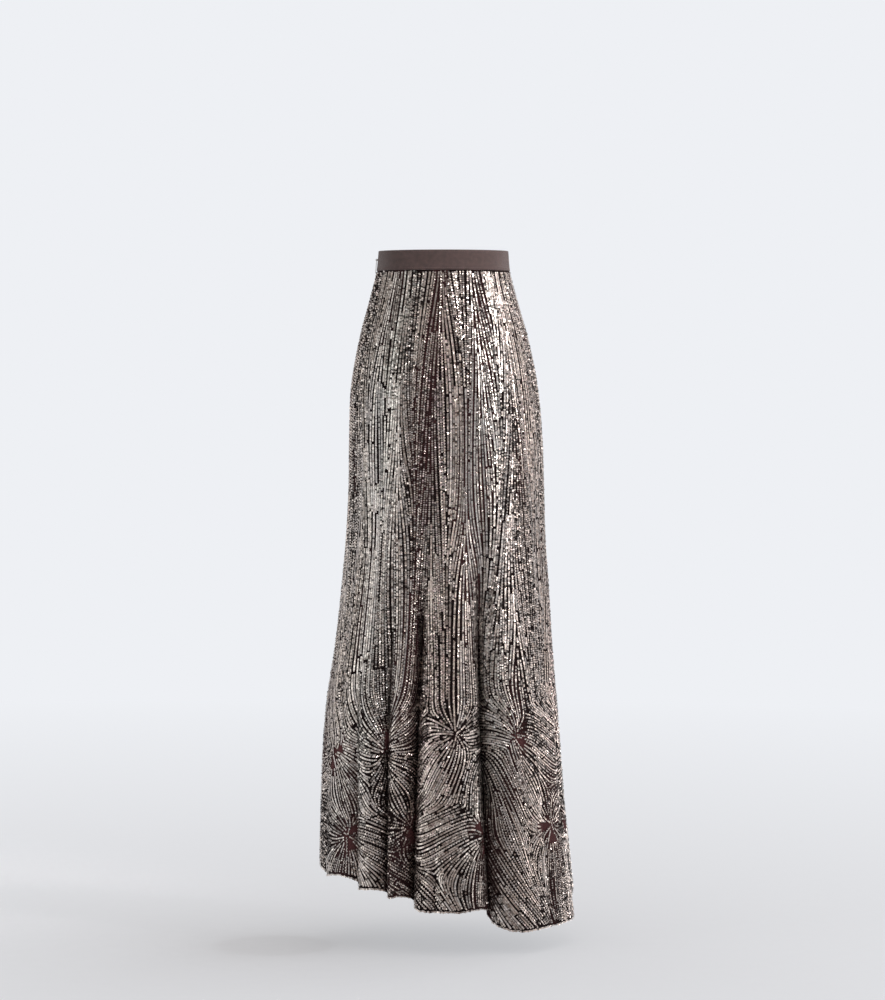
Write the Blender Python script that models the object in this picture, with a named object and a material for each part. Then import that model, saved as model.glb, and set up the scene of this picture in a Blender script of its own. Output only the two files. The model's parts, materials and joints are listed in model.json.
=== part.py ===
"""A sequin maxi skirt as it hangs on its wearer: six flared gores on a waistband, with a
concealed zip down the seam at the wearer's left and a hook and eye above it.

Metres, +Z up. The origin is the centre of the waist, level with the waistband's top edge. The
front faces -Y and the wearer's left is +X. A place on the garment is given by its angle round
the body (degrees, 0 at the wearer's left, 90 at the centre back), its drop below the waist and
its depth inwards from the cloth's outer face.
"""

from collections import namedtuple

import bmesh
import bpy
import numpy as np
from mathutils import Matrix, Vector

# --- Walls, gaps and heights ---------------------------------------------------------------
CLOTH_WALL = 0.0020
BAND_PROUD = 0.0003
BAND_HEIGHT = 0.035
GAP = 0.0003

# --- The cut -------------------------------------------------------------------------------
GORES = (
    "gore_side_back_left",
    "gore_centre_back",
    "gore_side_back_right",
    "gore_side_front_right",
    "gore_centre_front",
    "gore_side_front_left",
)
GORE_ANGLE = 360.0 / len(GORES)
ZIP_ANGLE = 4.0  # the first seam: the skirt sits turned a little on the wearer
GORE_COLUMNS = 16
UPPER_DROPS = np.linspace(BAND_HEIGHT + GAP, 0.235, 9)  # rows level round the body
LOWER_ROWS = 13  # rows shared out from there to the hem
BAND_COLUMNS = 56

# --- The outline: how far the cloth stands from the body's axis at each drop below the waist --
Section = namedtuple("Section", "drop left right back front")
SECTIONS = (
    Section(0.000, 0.1170, 0.1150, 0.0820, 0.0850),
    Section(0.035, 0.1205, 0.1180, 0.0870, 0.0880),
    Section(0.090, 0.1340, 0.1320, 0.1010, 0.0940),
    Section(0.150, 0.1500, 0.1490, 0.1170, 0.0990),
    Section(0.190, 0.1585, 0.1585, 0.1250, 0.1010),
    Section(0.240, 0.1665, 0.1675, 0.1290, 0.1040),
    Section(0.320, 0.1700, 0.1755, 0.1285, 0.1090),
    Section(0.420, 0.1712, 0.1795, 0.1265, 0.1150),
    Section(0.520, 0.1765, 0.1825, 0.1290, 0.1230),
    Section(0.600, 0.1840, 0.1885, 0.1360, 0.1300),
    Section(0.700, 0.1950, 0.1945, 0.1500, 0.1420),
    Section(0.810, 0.2115, 0.2045, 0.1690, 0.1570),
    Section(0.900, 0.2190, 0.2120, 0.1870, 0.1710),
    Section(0.990, 0.2225, 0.2200, 0.2050, 0.1850),
    Section(1.080, 0.2245, 0.2310, 0.2220, 0.1980),
    Section(1.195, 0.2260, 0.2430, 0.2400, 0.2120),
)
LONGEST = SECTIONS[-1].drop

# --- The hem: it dips at the right of the back and is shortest in front ----------------------
Hem = namedtuple("Hem", "angle drop")
HEMS = (
    Hem(-30, 1.104),
    Hem(2, 1.102),
    Hem(15, 1.113),
    Hem(39, 1.112),
    Hem(44, 1.124),
    Hem(55, 1.124),
    Hem(60, 1.135),
    Hem(69, 1.135),
    Hem(74, 1.148),
    Hem(95, 1.155),
    Hem(111, 1.160),
    Hem(117, 1.182),
    Hem(138, 1.193),
    Hem(155, 1.191),
    Hem(170, 1.184),
    Hem(180, 1.158),
    Hem(205, 1.132),
    Hem(240, 1.114),
    Hem(270, 1.107),
    Hem(300, 1.105),
)

# --- The folds: valleys that open below the thigh and run down to the hem --------------------
# top and hem are the valley's angle where it starts and at the hem, width is half its mouth in
# degrees, depth is how far it runs in, start is the drop where it begins and full the drop
# where it has its whole depth.
Fold = namedtuple("Fold", "top hem width depth start full")
FOLDS = (
    Fold(15, 13, 6.0, 0.014, 0.80, 1.20),
    Fold(40, 42, 5.5, 0.026, 0.66, 1.08),
    Fold(60, 58, 4.8, 0.038, 0.52, 0.96),
    Fold(79, 72, 5.6, 0.054, 0.42, 0.92),
    Fold(87, 85, 3.8, 0.015, 0.90, 1.20),
    Fold(110, 114, 6.6, 0.052, 0.42, 0.88),
    Fold(146, 144, 9.0, 0.008, 0.66, 1.10),
    Fold(170, 175, 5.5, 0.022, 0.70, 1.10),
    Fold(200, 197, 6.5, 0.030, 0.60, 1.06),
    Fold(224, 227, 5.5, 0.022, 0.70, 1.12),
    Fold(250, 252, 6.5, 0.042, 0.52, 1.00),
    Fold(270, 271, 4.5, 0.020, 0.78, 1.16),
    Fold(289, 291, 7.0, 0.044, 0.50, 0.98),
    Fold(315, 314, 5.5, 0.026, 0.66, 1.08),
    Fold(334, 337, 6.0, 0.034, 0.60, 1.04),
)
FOLD_CLOSING = 0.62  # how far a fold's shoulders lean over its valley, as a share of its width
FOLD_ONSET = 0.8  # below 1, folds deepen sooner below their starts
FOLD_ROUNDING = 1.5  # how blunt a valley is: 1 is a crease and 2 a round trough

# --- The zip: tapes behind the seam, a coil behind the tapes and a slider at the top ---------
TAPE_WIDTH = 0.012
TAPE_WALL = 0.0007
TAPE_INSET = 0.0010  # from the seam's line to the tape's edge, on each side
TAPE_TOP = 0.0105
TAPE_DEPTH = CLOTH_WALL + 0.0005
COIL_WIDTH = 0.0030
COIL_WALL = 0.0014
COIL_DEPTH = TAPE_DEPTH + TAPE_WALL + GAP
COIL_FOOT = 0.2035
TAPE_ROWS = 7  # the gores' upper rows that the tapes follow
COIL_ROWS = 6
STOP_LENGTH = 0.0036
SLIDER_DROP = 0.0160
SLIDER_LENGTH = 0.0090
SLIDER_WIDTH = 0.0064
SLIDER_FOOT = 0.0046
SLIDER_WALL = 0.0034
NECK_WIDTH = 0.0010
NECK_HEIGHT = 0.0032
NOTCH_HALF = 0.0010  # the band's ends stand apart here, where the slider's neck comes through
NOTCH_REACH = 0.0058
NOTCH_ENDS = (SLIDER_DROP - NOTCH_REACH, SLIDER_DROP + NOTCH_REACH)
NOTCH_SLANT = 0.0004
PIVOT_OUT = 0.0026  # the pull's axis, outwards from the cloth
BAIL_RADIUS = 0.0019
BAIL_HOLE = 0.0008
BAIL_WIDTH = 0.0020
PULL_LENGTH = 0.0240
PULL_THICK = 0.0008
PULL_HEAD = 0.0048
PULL_CORNER = 0.0010
PULL_FOOT = 0.0066
PULL_HOLE = (0.0028, 0.0022)

# --- The hook and eye on the band's ends ---------------------------------------------------
HOOK_DROP = 0.0055
HOOK_DEPTH = 0.00285
HOOK_WALL = 0.0008
HOOK_HALF = 0.0012
HOOK_ROOT = 0.0070  # places along the waist, from the seam: the hook's sewn end
HOOK_BEND = 0.0004
HOOK_TIP = -0.0034
EYE_ENDS = (-0.0070, -0.0015)
EYE_HALF = 0.0023

Finish = namedtuple("Finish", "colour roughness metallic")
FINISHES = {
    "sequin_cloth": Finish((0.30, 0.27, 0.25), 0.35, 0.6),
    "band_cloth": Finish((0.10, 0.065, 0.06), 0.8, 0.0),
    "zip_tape": Finish((0.11, 0.07, 0.065), 0.9, 0.0),
    "zip_metal": Finish((0.55, 0.54, 0.52), 0.3, 1.0),
}


def material(name):
    """The material of a named finish, made once."""
    found = bpy.data.materials.get(name)
    if found:
        return found
    made = bpy.data.materials.new(name)
    made.use_nodes = True
    shader = made.node_tree.nodes["Principled BSDF"]
    shader.inputs["Base Color"].default_value = (*FINISHES[name].colour, 1.0)
    shader.inputs["Roughness"].default_value = FINISHES[name].roughness
    shader.inputs["Metallic"].default_value = FINISHES[name].metallic
    return made


# --- The garment's form --------------------------------------------------------------------
def curve_through(xs, ys, x):
    """A smooth curve through the points (xs, ys), read at x and held level past its ends."""
    xs, ys = np.asarray(xs, float), np.asarray(ys, float)
    slopes = np.gradient(ys, xs)
    i = np.clip(np.searchsorted(xs, x) - 1, 0, len(xs) - 2)
    span = xs[i + 1] - xs[i]
    t = np.clip((x - xs[i]) / span, 0.0, 1.0)
    rise = ys[i + 1] - ys[i]
    bend = (1 - t) * slopes[i] * span - t * slopes[i + 1] * span
    return ys[i] + rise * t * t * (3 - 2 * t) + t * (1 - t) * bend


def wrapped(angle):
    """The angle between -180 and 180 degrees."""
    return (np.asarray(angle, float) + 180.0) % 360.0 - 180.0


def eased(t):
    """0 below 0, 1 above 1 and smooth between them."""
    t = np.clip(t, 0.0, 1.0)
    return t * t * (3 - 2 * t)


def hem_drop(angle):
    """How far below the waist the hem hangs at an angle round the body."""
    rows = [Hem(h.angle + turn, h.drop) for turn in (-360, 0, 360) for h in HEMS]
    return curve_through([h.angle for h in rows], [h.drop for h in rows], np.asarray(angle) % 360)


def outer_face(angle, drop):
    """Points on the cloth's outer face."""
    angle, drop = np.broadcast_arrays(np.asarray(angle, float), np.asarray(drop, float))
    drops = [s.drop for s in SECTIONS]
    left, right, back, front = (
        curve_through(drops, [getattr(s, side) for s in SECTIONS], drop)
        for side in ("left", "right", "back", "front")
    )
    turn = np.radians(angle)
    wide = np.where(np.cos(turn) > 0, left, right)
    deep = np.where(np.sin(turn) > 0, back, front)
    x, y = wide * np.cos(turn), deep * np.sin(turn)
    along = np.stack([-wide * np.sin(turn), deep * np.cos(turn)], -1)
    reach = np.linalg.norm(along, axis=-1)
    along /= reach[..., None]
    inwards, sideways = np.zeros_like(x), np.zeros_like(x)
    for fold in FOLDS:
        share = np.clip((drop - fold.start) / (LONGEST - fold.start), 0, 1)
        off = wrapped(angle - fold.top - (fold.hem - fold.top) * share) / fold.width
        size = eased((drop - fold.start) / (fold.full - fold.start)) ** FOLD_ONSET
        inwards += fold.depth * size * np.exp(-np.abs(off) ** FOLD_ROUNDING)
        mouth = np.radians(fold.width) * reach
        sideways -= FOLD_CLOSING * mouth * size * off * np.exp(-off * off)
    x = x - along[..., 1] * inwards + along[..., 0] * sideways
    y = y + along[..., 0] * inwards + along[..., 1] * sideways
    return np.stack([x, y, -drop], -1)


def outwards(angle, drop, turn=0.25, rise=0.001):
    """The outer face's unit normals, from points a small step to each side."""
    across = outer_face(angle + turn, drop) - outer_face(angle - turn, drop)
    upwards = outer_face(angle, drop - rise) - outer_face(angle, drop + rise)
    normal = np.cross(across, upwards)
    return normal / np.linalg.norm(normal, axis=-1)[..., None]


def on_form(angle, drop, depth):
    """Points at a depth below the cloth's outer face."""
    return outer_face(angle, drop) - np.asarray(depth)[..., None] * outwards(angle, drop)


def degrees_of(width, angle, drop, turn=0.05):
    """The turn round the body that covers a width in metres there."""
    reach = outer_face(angle + turn, drop) - outer_face(angle - turn, drop)
    return width * 2 * turn / np.linalg.norm(reach, axis=-1)


# --- Building tools ------------------------------------------------------------------------
def finish(bm, name, finish_name, body, smooth=True):
    """The bmesh as a named object on its body's empty."""
    bmesh.ops.recalc_face_normals(bm, faces=bm.faces)
    mesh = bpy.data.meshes.new(name)
    bm.to_mesh(mesh)
    bm.free()
    mesh.materials.append(material(finish_name))
    if smooth:
        mesh.shade_smooth()
        mesh.set_sharp_from_angle(angle=np.radians(50))
    obj = bpy.data.objects.new(name, mesh)
    bpy.context.scene.collection.objects.link(obj)
    obj.parent = body
    return obj


def wall(name, finish_name, body, place, columns, rows, outer, inner):
    """A piece of cloth: place(column, row) gives the angle and drop of its grid's corners, and
    outer and inner are the depths of its two faces."""
    bm = bmesh.new()
    bmesh.ops.create_grid(bm, x_segments=columns, y_segments=rows, size=0.5)
    shell = bmesh.ops.extrude_face_region(bm, geom=bm.faces[:], use_keep_orig=True)
    lining = {v for v in shell["geom"] if isinstance(v, bmesh.types.BMVert)}
    verts = list(bm.verts)
    flat = np.array([v.co for v in verts])
    column = np.rint((flat[:, 0] + 0.5) * columns).astype(int)
    row = np.rint((0.5 - flat[:, 1]) * rows).astype(int)
    angle, drop = place(column, row)
    depth = np.array([inner if v in lining else outer for v in verts])
    for vert, point in zip(verts, on_form(angle, drop, depth)):
        vert.co = point
    return finish(bm, name, finish_name, body)


def local_frame(drop, rise=0.004):
    """The zip seam's own axes at a drop: x outwards, y round the body, z up along the seam."""
    out = Vector(outwards(ZIP_ANGLE, drop))
    up = Vector(outer_face(ZIP_ANGLE, drop - rise) - outer_face(ZIP_ANGLE, drop + rise))
    up = (up - up.dot(out) * out).normalized()
    across = up.cross(out)
    turn = Matrix((out, across, up)).transposed().to_4x4()
    return Matrix.Translation(Vector(outer_face(ZIP_ANGLE, drop))) @ turn


def prism(bm, outline, low, high, axis):
    """An outline of (a, b) points drawn out from low to high along an axis, 0, 1 or 2."""
    others = [i for i in range(3) if i != axis]
    corners = []
    for a, b in outline:
        place = [0.0, 0.0, 0.0]
        place[others[0]], place[others[1]], place[axis] = a, b, low
        corners.append(bm.verts.new(place))
    face = bm.faces.new(corners)
    drawn = bmesh.ops.extrude_face_region(bm, geom=[face], use_keep_orig=True)
    shift = Vector([high - low if i == axis else 0.0 for i in range(3)])
    moved = [v for v in drawn["geom"] if isinstance(v, bmesh.types.BMVert)]
    bmesh.ops.translate(bm, vec=shift, verts=moved)


def box_outline(low_a, high_a, low_b, high_b):
    """A rectangle's corners."""
    return [(low_a, low_b), (high_a, low_b), (high_a, high_b), (low_a, high_b)]


def round_outline(centre, radius, sides):
    """A circle's corners."""
    turns = np.arange(sides) * 2 * np.pi / sides
    return [(centre[0] + radius * np.cos(t), centre[1] + radius * np.sin(t)) for t in turns]


def helper(name, outline, low, high, axis):
    """A hidden solid that a Boolean reads."""
    bm = bmesh.new()
    prism(bm, outline, low, high, axis)
    obj = finish(bm, name, "zip_metal", None, smooth=False)
    obj.hide_render = True
    obj.display_type = "WIRE"
    return obj


def combine(obj, other, operation):
    """A Boolean of obj with a helper, which follows obj's place."""
    other.parent = obj
    change = obj.modifiers.new(operation.lower(), "BOOLEAN")
    change.operation = operation
    change.object = other
    change.solver = "EXACT"


# --- Pieces --------------------------------------------------------------------------------
def build_gores(body):
    """Six gores, each from the band's lower edge to the hem, a gap apart at the seams."""
    upper_rows = len(UPPER_DROPS) - 1

    def place_from(start):
        def place(column, row):
            angle = start + GORE_ANGLE * column / GORE_COLUMNS
            share = (row - upper_rows) / LOWER_ROWS
            lower = UPPER_DROPS[-1] + share * (hem_drop(angle) - UPPER_DROPS[-1])
            drop = np.where(share > 0, lower, UPPER_DROPS[np.minimum(row, upper_rows)])
            side = np.where(column == 0, 1, np.where(column == GORE_COLUMNS, -1, 0))
            return angle + side * degrees_of(GAP / 2, angle, drop), drop

        return place

    rows = upper_rows + LOWER_ROWS
    for i, name in enumerate(GORES):
        place = place_from(ZIP_ANGLE + i * GORE_ANGLE)
        wall(name, "sequin_cloth", body, place, GORE_COLUMNS, rows, 0.0, CLOTH_WALL)


def build_band(body):
    """The waistband, open at the zip's seam and notched there for the slider's neck."""
    above, below = NOTCH_ENDS
    drops = np.array([0.0, above - NOTCH_SLANT, above, below, below + NOTCH_SLANT, BAND_HEIGHT])
    halves = np.array([GAP / 2, GAP / 2, NOTCH_HALF, NOTCH_HALF, GAP / 2, GAP / 2])

    def place(column, row):
        drop = drops[row]
        inset = degrees_of(halves[row], np.full_like(drop, ZIP_ANGLE), drop)
        return ZIP_ANGLE + inset + column / BAND_COLUMNS * (360.0 - 2 * inset), drop

    rows = len(drops) - 1
    wall("waistband", "band_cloth", body, place, BAND_COLUMNS, rows, -BAND_PROUD, CLOTH_WALL)


def build_zip_cloth(body):
    """The two tapes behind the seam and the closed coil behind the tapes."""

    def strip(name, near, far, columns, drops, outer, thick):
        def place(column, row):
            drop = drops[row]
            side = near + column / columns * (far - near)
            return ZIP_ANGLE + degrees_of(side, np.full_like(drop, ZIP_ANGLE), drop), drop

        wall(name, "zip_tape", body, place, columns, len(drops) - 1, outer, outer + thick)

    drops = np.array([TAPE_TOP, NOTCH_ENDS[1], *UPPER_DROPS[: TAPE_ROWS + 1]])
    far = TAPE_INSET + TAPE_WIDTH
    strip("zip_tape_back", TAPE_INSET, far, 3, drops, TAPE_DEPTH, TAPE_WALL)
    strip("zip_tape_front", -TAPE_INSET, -far, 3, drops, TAPE_DEPTH, TAPE_WALL)
    coil_top = SLIDER_DROP + SLIDER_LENGTH / 2 + GAP
    drops = np.array([coil_top, *UPPER_DROPS[: COIL_ROWS + 1], COIL_FOOT])
    half = COIL_WIDTH / 2
    strip("zip_coil", -half, half, 1, drops, COIL_DEPTH, COIL_WALL)


def build_slider(body):
    """The slider's body behind the tapes, its neck through the notch and its bail outside."""
    half, wide, narrow = SLIDER_LENGTH / 2, SLIDER_WIDTH / 2, SLIDER_FOOT / 2
    sides = [(-narrow, half), (-wide, half / 2), (-wide, 0), (-narrow, -half)]
    outline = sides + [(-y, z) for y, z in reversed(sides)]
    bm = bmesh.new()
    prism(bm, outline, -COIL_DEPTH - SLIDER_WALL, -COIL_DEPTH, axis=0)
    slider = finish(bm, "zip_slider", "zip_metal", body, smooth=False)
    slider.matrix_world = local_frame(SLIDER_DROP)
    back, front = -COIL_DEPTH - SLIDER_WALL / 3, PIVOT_OUT - (BAIL_RADIUS + BAIL_HOLE) / 2
    neck = box_outline(back, front, -NECK_HEIGHT / 2, NECK_HEIGHT / 2)
    combine(slider, helper("neck", neck, -NECK_WIDTH / 2, NECK_WIDTH / 2, 1), "UNION")
    bail = round_outline((PIVOT_OUT, 0.0), BAIL_RADIUS, 16)
    combine(slider, helper("bail", bail, -BAIL_WIDTH / 2, BAIL_WIDTH / 2, 1), "UNION")
    hole = round_outline((PIVOT_OUT, 0.0), BAIL_HOLE, 12)
    combine(slider, helper("bail_hole", hole, -BAIL_WIDTH, BAIL_WIDTH, 1), "DIFFERENCE")


def build_stop(body):
    """The stop at the coil's foot."""
    bm = bmesh.new()
    half = STOP_LENGTH / 2
    sides = box_outline(-COIL_DEPTH - COIL_WALL, -COIL_DEPTH, -half, half)
    prism(bm, sides, -COIL_WIDTH / 2, COIL_WIDTH / 2, axis=1)
    stop = finish(bm, "zip_stop", "zip_metal", body, smooth=False)
    stop.matrix_world = local_frame(COIL_FOOT + GAP + half)


def build_pull(pivot):
    """The pull tab: a thin drop-shaped plate whose top bar lies in the slider's bail."""
    bar, head = PULL_THICK / 2, PULL_HEAD / 2
    shoulders = [
        (-head, bar - PULL_CORNER),
        (PULL_CORNER - head, bar),
        (head - PULL_CORNER, bar),
        (head, bar - PULL_CORNER),
    ]
    middle = -PULL_LENGTH + PULL_FOOT / 2
    turns = np.linspace(0, -np.pi, 9)
    foot = [(PULL_FOOT / 2 * np.cos(t), middle + PULL_FOOT / 2 * np.sin(t)) for t in turns]
    bm = bmesh.new()
    prism(bm, shoulders + foot, -bar, bar, axis=0)
    pull = finish(bm, "zip_pull", "zip_metal", pivot, smooth=False)
    wide, tall = PULL_HOLE
    hole = box_outline(-wide / 2, wide / 2, -bar - tall, -bar)
    combine(pull, helper("pull_hole", hole, -PULL_THICK, PULL_THICK, 0), "DIFFERENCE")


def build_hook_and_eye(body):
    """A hook on the band's back end, caught in an eye on its front end."""
    near = -HOOK_DEPTH
    far = near - HOOK_WALL
    under = far - GAP
    back = under - HOOK_WALL
    outline = [
        (near, HOOK_ROOT),
        (near, HOOK_BEND),
        (under, HOOK_BEND),
        (under, HOOK_TIP + HOOK_WALL),
        (near, HOOK_TIP + HOOK_WALL),
        (near, HOOK_TIP),
        (back, HOOK_TIP),
        (back, HOOK_BEND + HOOK_WALL),
        (far, HOOK_BEND + HOOK_WALL),
        (far, HOOK_ROOT),
    ]
    bm = bmesh.new()
    prism(bm, outline, -HOOK_HALF, HOOK_HALF, axis=2)
    hook = finish(bm, "waist_hook", "zip_metal", body, smooth=False)
    hook.matrix_world = local_frame(HOOK_DROP)
    low, high = EYE_ENDS
    bm = bmesh.new()
    prism(bm, box_outline(low, high, -EYE_HALF, EYE_HALF), far, near, axis=0)
    eye = finish(bm, "waist_eye", "zip_metal", body, smooth=False)
    eye.matrix_world = local_frame(HOOK_DROP)
    inner = EYE_HALF - HOOK_WALL
    hole = box_outline(low + HOOK_WALL, high - HOOK_WALL, -inner, inner)
    combine(eye, helper("eye_hole", hole, far - HOOK_WALL, near + HOOK_WALL, 0), "DIFFERENCE")


def main():
    for obj in list(bpy.data.objects):
        bpy.data.objects.remove(obj)
    skirt = bpy.data.objects.new("skirt", None)
    pivot = bpy.data.objects.new("pull_pivot", None)
    for empty in (skirt, pivot):
        bpy.context.scene.collection.objects.link(empty)
    build_gores(skirt)
    build_band(skirt)
    build_zip_cloth(skirt)
    build_slider(skirt)
    build_stop(skirt)
    build_hook_and_eye(skirt)
    pivot.matrix_world = local_frame(SLIDER_DROP) @ Matrix.Translation((PIVOT_OUT, 0, 0))
    build_pull(pivot)
    bpy.context.view_layer.update()


main()
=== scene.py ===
"""The finish of a sequin maxi skirt: six gores of mauve-brown mesh under rows of silver sequins,
a plain waistband and a concealed zip, with the studio they stand in.

Metres, +Z up. The origin is the centre of the waist, level with the waistband's top edge. The
front faces -Y and the wearer's left is +X. A place on the garment is given by its angle round
the body (degrees, 0 at the wearer's left, 90 at the centre back), its drop below the waist and
its depth inwards from the cloth's outer face.
"""

import json
import math
from collections import deque, namedtuple

import bmesh
import bpy
import numpy as np
from bpy.props import FloatProperty, FloatVectorProperty, IntProperty, PointerProperty
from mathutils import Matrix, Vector

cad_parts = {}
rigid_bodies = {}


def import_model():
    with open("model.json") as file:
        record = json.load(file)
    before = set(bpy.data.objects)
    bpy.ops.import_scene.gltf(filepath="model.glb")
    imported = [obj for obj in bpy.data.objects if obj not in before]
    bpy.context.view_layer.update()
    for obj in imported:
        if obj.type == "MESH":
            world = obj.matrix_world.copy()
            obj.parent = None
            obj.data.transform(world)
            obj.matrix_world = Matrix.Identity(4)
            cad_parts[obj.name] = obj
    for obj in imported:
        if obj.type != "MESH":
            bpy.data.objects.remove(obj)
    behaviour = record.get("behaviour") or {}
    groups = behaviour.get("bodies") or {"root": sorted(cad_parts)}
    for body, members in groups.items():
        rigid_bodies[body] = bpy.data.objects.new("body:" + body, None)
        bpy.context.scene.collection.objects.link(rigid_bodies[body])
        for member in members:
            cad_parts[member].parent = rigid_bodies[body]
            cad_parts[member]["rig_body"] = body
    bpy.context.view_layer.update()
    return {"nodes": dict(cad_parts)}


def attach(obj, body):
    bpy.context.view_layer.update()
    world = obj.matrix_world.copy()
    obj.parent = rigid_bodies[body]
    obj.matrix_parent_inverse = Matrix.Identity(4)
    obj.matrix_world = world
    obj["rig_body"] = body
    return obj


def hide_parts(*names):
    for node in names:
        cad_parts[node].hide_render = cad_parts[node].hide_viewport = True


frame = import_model()

bl_info = {
    "name": "Sequin maxi skirt",
    "version": (1, 0, 0),
    "blender": (4, 5, 0),
    "location": "3D View > Sidebar > Skirt",
    "description": "Builds a sequin maxi skirt's mesh gores, sequin rows, waistband and zip",
    "category": "Object",
}

BODY = "skirt"

# --- The garment's form: the same numbers as the CAD ----------------------------------------
BAND_HEIGHT = 0.035
BAND_PROUD = 0.0003
GAP = 0.0003
CLOTH_WALL = 0.0020
GORES = (
    "gore_side_back_left",
    "gore_centre_back",
    "gore_side_back_right",
    "gore_side_front_right",
    "gore_centre_front",
    "gore_side_front_left",
)
GORE_ANGLE = 360.0 / len(GORES)
ZIP_ANGLE = 4.0
CLOTH_TOP = BAND_HEIGHT + GAP

Section = namedtuple("Section", "drop left right back front")
SECTIONS = (
    Section(0.000, 0.1170, 0.1150, 0.0820, 0.0850),
    Section(0.035, 0.1205, 0.1180, 0.0870, 0.0880),
    Section(0.090, 0.1340, 0.1320, 0.1010, 0.0940),
    Section(0.150, 0.1500, 0.1490, 0.1170, 0.0990),
    Section(0.190, 0.1585, 0.1585, 0.1250, 0.1010),
    Section(0.240, 0.1665, 0.1675, 0.1290, 0.1040),
    Section(0.320, 0.1700, 0.1755, 0.1285, 0.1090),
    Section(0.420, 0.1712, 0.1795, 0.1265, 0.1150),
    Section(0.520, 0.1765, 0.1825, 0.1290, 0.1230),
    Section(0.600, 0.1840, 0.1885, 0.1360, 0.1300),
    Section(0.700, 0.1950, 0.1945, 0.1500, 0.1420),
    Section(0.810, 0.2115, 0.2045, 0.1690, 0.1570),
    Section(0.900, 0.2190, 0.2120, 0.1870, 0.1710),
    Section(0.990, 0.2225, 0.2200, 0.2050, 0.1850),
    Section(1.080, 0.2245, 0.2310, 0.2220, 0.1980),
    Section(1.195, 0.2260, 0.2430, 0.2400, 0.2120),
)
LONGEST = SECTIONS[-1].drop

Hem = namedtuple("Hem", "angle drop")
HEMS = (
    Hem(-30, 1.104), Hem(2, 1.102), Hem(15, 1.113), Hem(39, 1.112), Hem(44, 1.124),
    Hem(55, 1.124), Hem(60, 1.135), Hem(69, 1.135), Hem(74, 1.148), Hem(95, 1.155),
    Hem(111, 1.160), Hem(117, 1.182), Hem(138, 1.193), Hem(155, 1.191), Hem(170, 1.184),
    Hem(180, 1.158), Hem(205, 1.132), Hem(240, 1.114), Hem(270, 1.107), Hem(300, 1.105),
)

Fold = namedtuple("Fold", "top hem width depth start full")
FOLDS = (
    Fold(15, 13, 6.0, 0.014, 0.80, 1.20),
    Fold(40, 42, 5.5, 0.026, 0.66, 1.08),
    Fold(60, 58, 4.8, 0.038, 0.52, 0.96),
    Fold(79, 72, 5.6, 0.054, 0.42, 0.92),
    Fold(87, 85, 3.8, 0.015, 0.90, 1.20),
    Fold(110, 114, 6.6, 0.052, 0.42, 0.88),
    Fold(146, 144, 9.0, 0.008, 0.66, 1.10),
    Fold(170, 175, 5.5, 0.022, 0.70, 1.10),
    Fold(200, 197, 6.5, 0.030, 0.60, 1.06),
    Fold(224, 227, 5.5, 0.022, 0.70, 1.12),
    Fold(250, 252, 6.5, 0.042, 0.52, 1.00),
    Fold(270, 271, 4.5, 0.020, 0.78, 1.16),
    Fold(289, 291, 7.0, 0.044, 0.50, 0.98),
    Fold(315, 314, 5.5, 0.026, 0.66, 1.08),
    Fold(334, 337, 6.0, 0.034, 0.60, 1.04),
)
FOLD_CLOSING = 0.62
FOLD_ONSET = 0.8
FOLD_ROUNDING = 1.5

# --- Small creases that only the finish has: a trough at each angle, between two drops --------
Crease = namedtuple("Crease", "angle top hem width depth lean")
CREASES = (
    Crease(22, 0.30, 0.80, 5.0, 0.0020, -3),
    Crease(47, 0.22, 0.66, 6.0, 0.0028, 4),
    Crease(63, 0.06, 0.50, 4.4, -0.0026, 4),
    Crease(84, 0.40, 0.86, 3.6, 0.0026, -3),
    Crease(97, 0.26, 0.60, 5.5, 0.0016, 4),
    Crease(103, 0.62, 1.16, 3.0, 0.0036, -2),
    Crease(110, 0.04, 0.38, 4.2, -0.0019, 2),
    Crease(126, 0.46, 0.84, 6.0, 0.0026, -5),
    Crease(131, 0.24, 0.64, 12.0, -0.0062, 0),
    Crease(132, 0.74, 1.19, 4.0, 0.0040, 2),
    Crease(156, 0.44, 1.00, 5.0, 0.0030, 4),
    Crease(164, 0.80, 1.18, 3.5, 0.0036, -2),
    Crease(186, 0.30, 0.84, 6.0, 0.0026, -4),
    Crease(212, 0.24, 0.92, 5.0, 0.0030, 5),
    Crease(233, 0.50, 1.10, 4.0, 0.0034, -4),
    Crease(262, 0.20, 0.74, 5.5, 0.0028, -5),
    Crease(279, 0.66, 1.10, 3.5, 0.0034, 2),
    Crease(303, 0.28, 0.96, 5.0, 0.0032, 4),
    Crease(325, 0.36, 1.02, 4.5, 0.0030, -4),
    Crease(349, 0.26, 0.94, 5.0, 0.0026, 3),
    Crease(30, 0.70, 1.10, 3.2, 0.0034, 2),
    Crease(66, 0.84, 1.14, 2.6, 0.0032, -2),
    Crease(94, 0.80, 1.15, 2.6, 0.0036, 1),
)
CREASE_ENDS = 0.16  # a crease fades in and out over this length, in metres

# --- The flat cut of each piece of cloth: width at the widest, length, area -------------------
Cut = namedtuple("Cut", "width length area")
GORE_CUTS = {
    "gore_side_back_left": Cut(0.282, 1.110, 0.196),
    "gore_centre_back": Cut(0.343, 1.170, 0.261),
    "gore_side_back_right": Cut(0.271, 1.170, 0.200),
    "gore_side_front_right": Cut(0.262, 1.124, 0.187),
    "gore_centre_front": Cut(0.296, 1.084, 0.222),
    "gore_side_front_left": Cut(0.257, 1.076, 0.176),
}
BAND_CUT = Cut(0.642, 0.035, None)
TAPE_CUT = Cut(0.012, 0.201, None)
INSIDE_MAP = 1.0  # how far aside the inner face lies in a cloth's map, in metres

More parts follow.
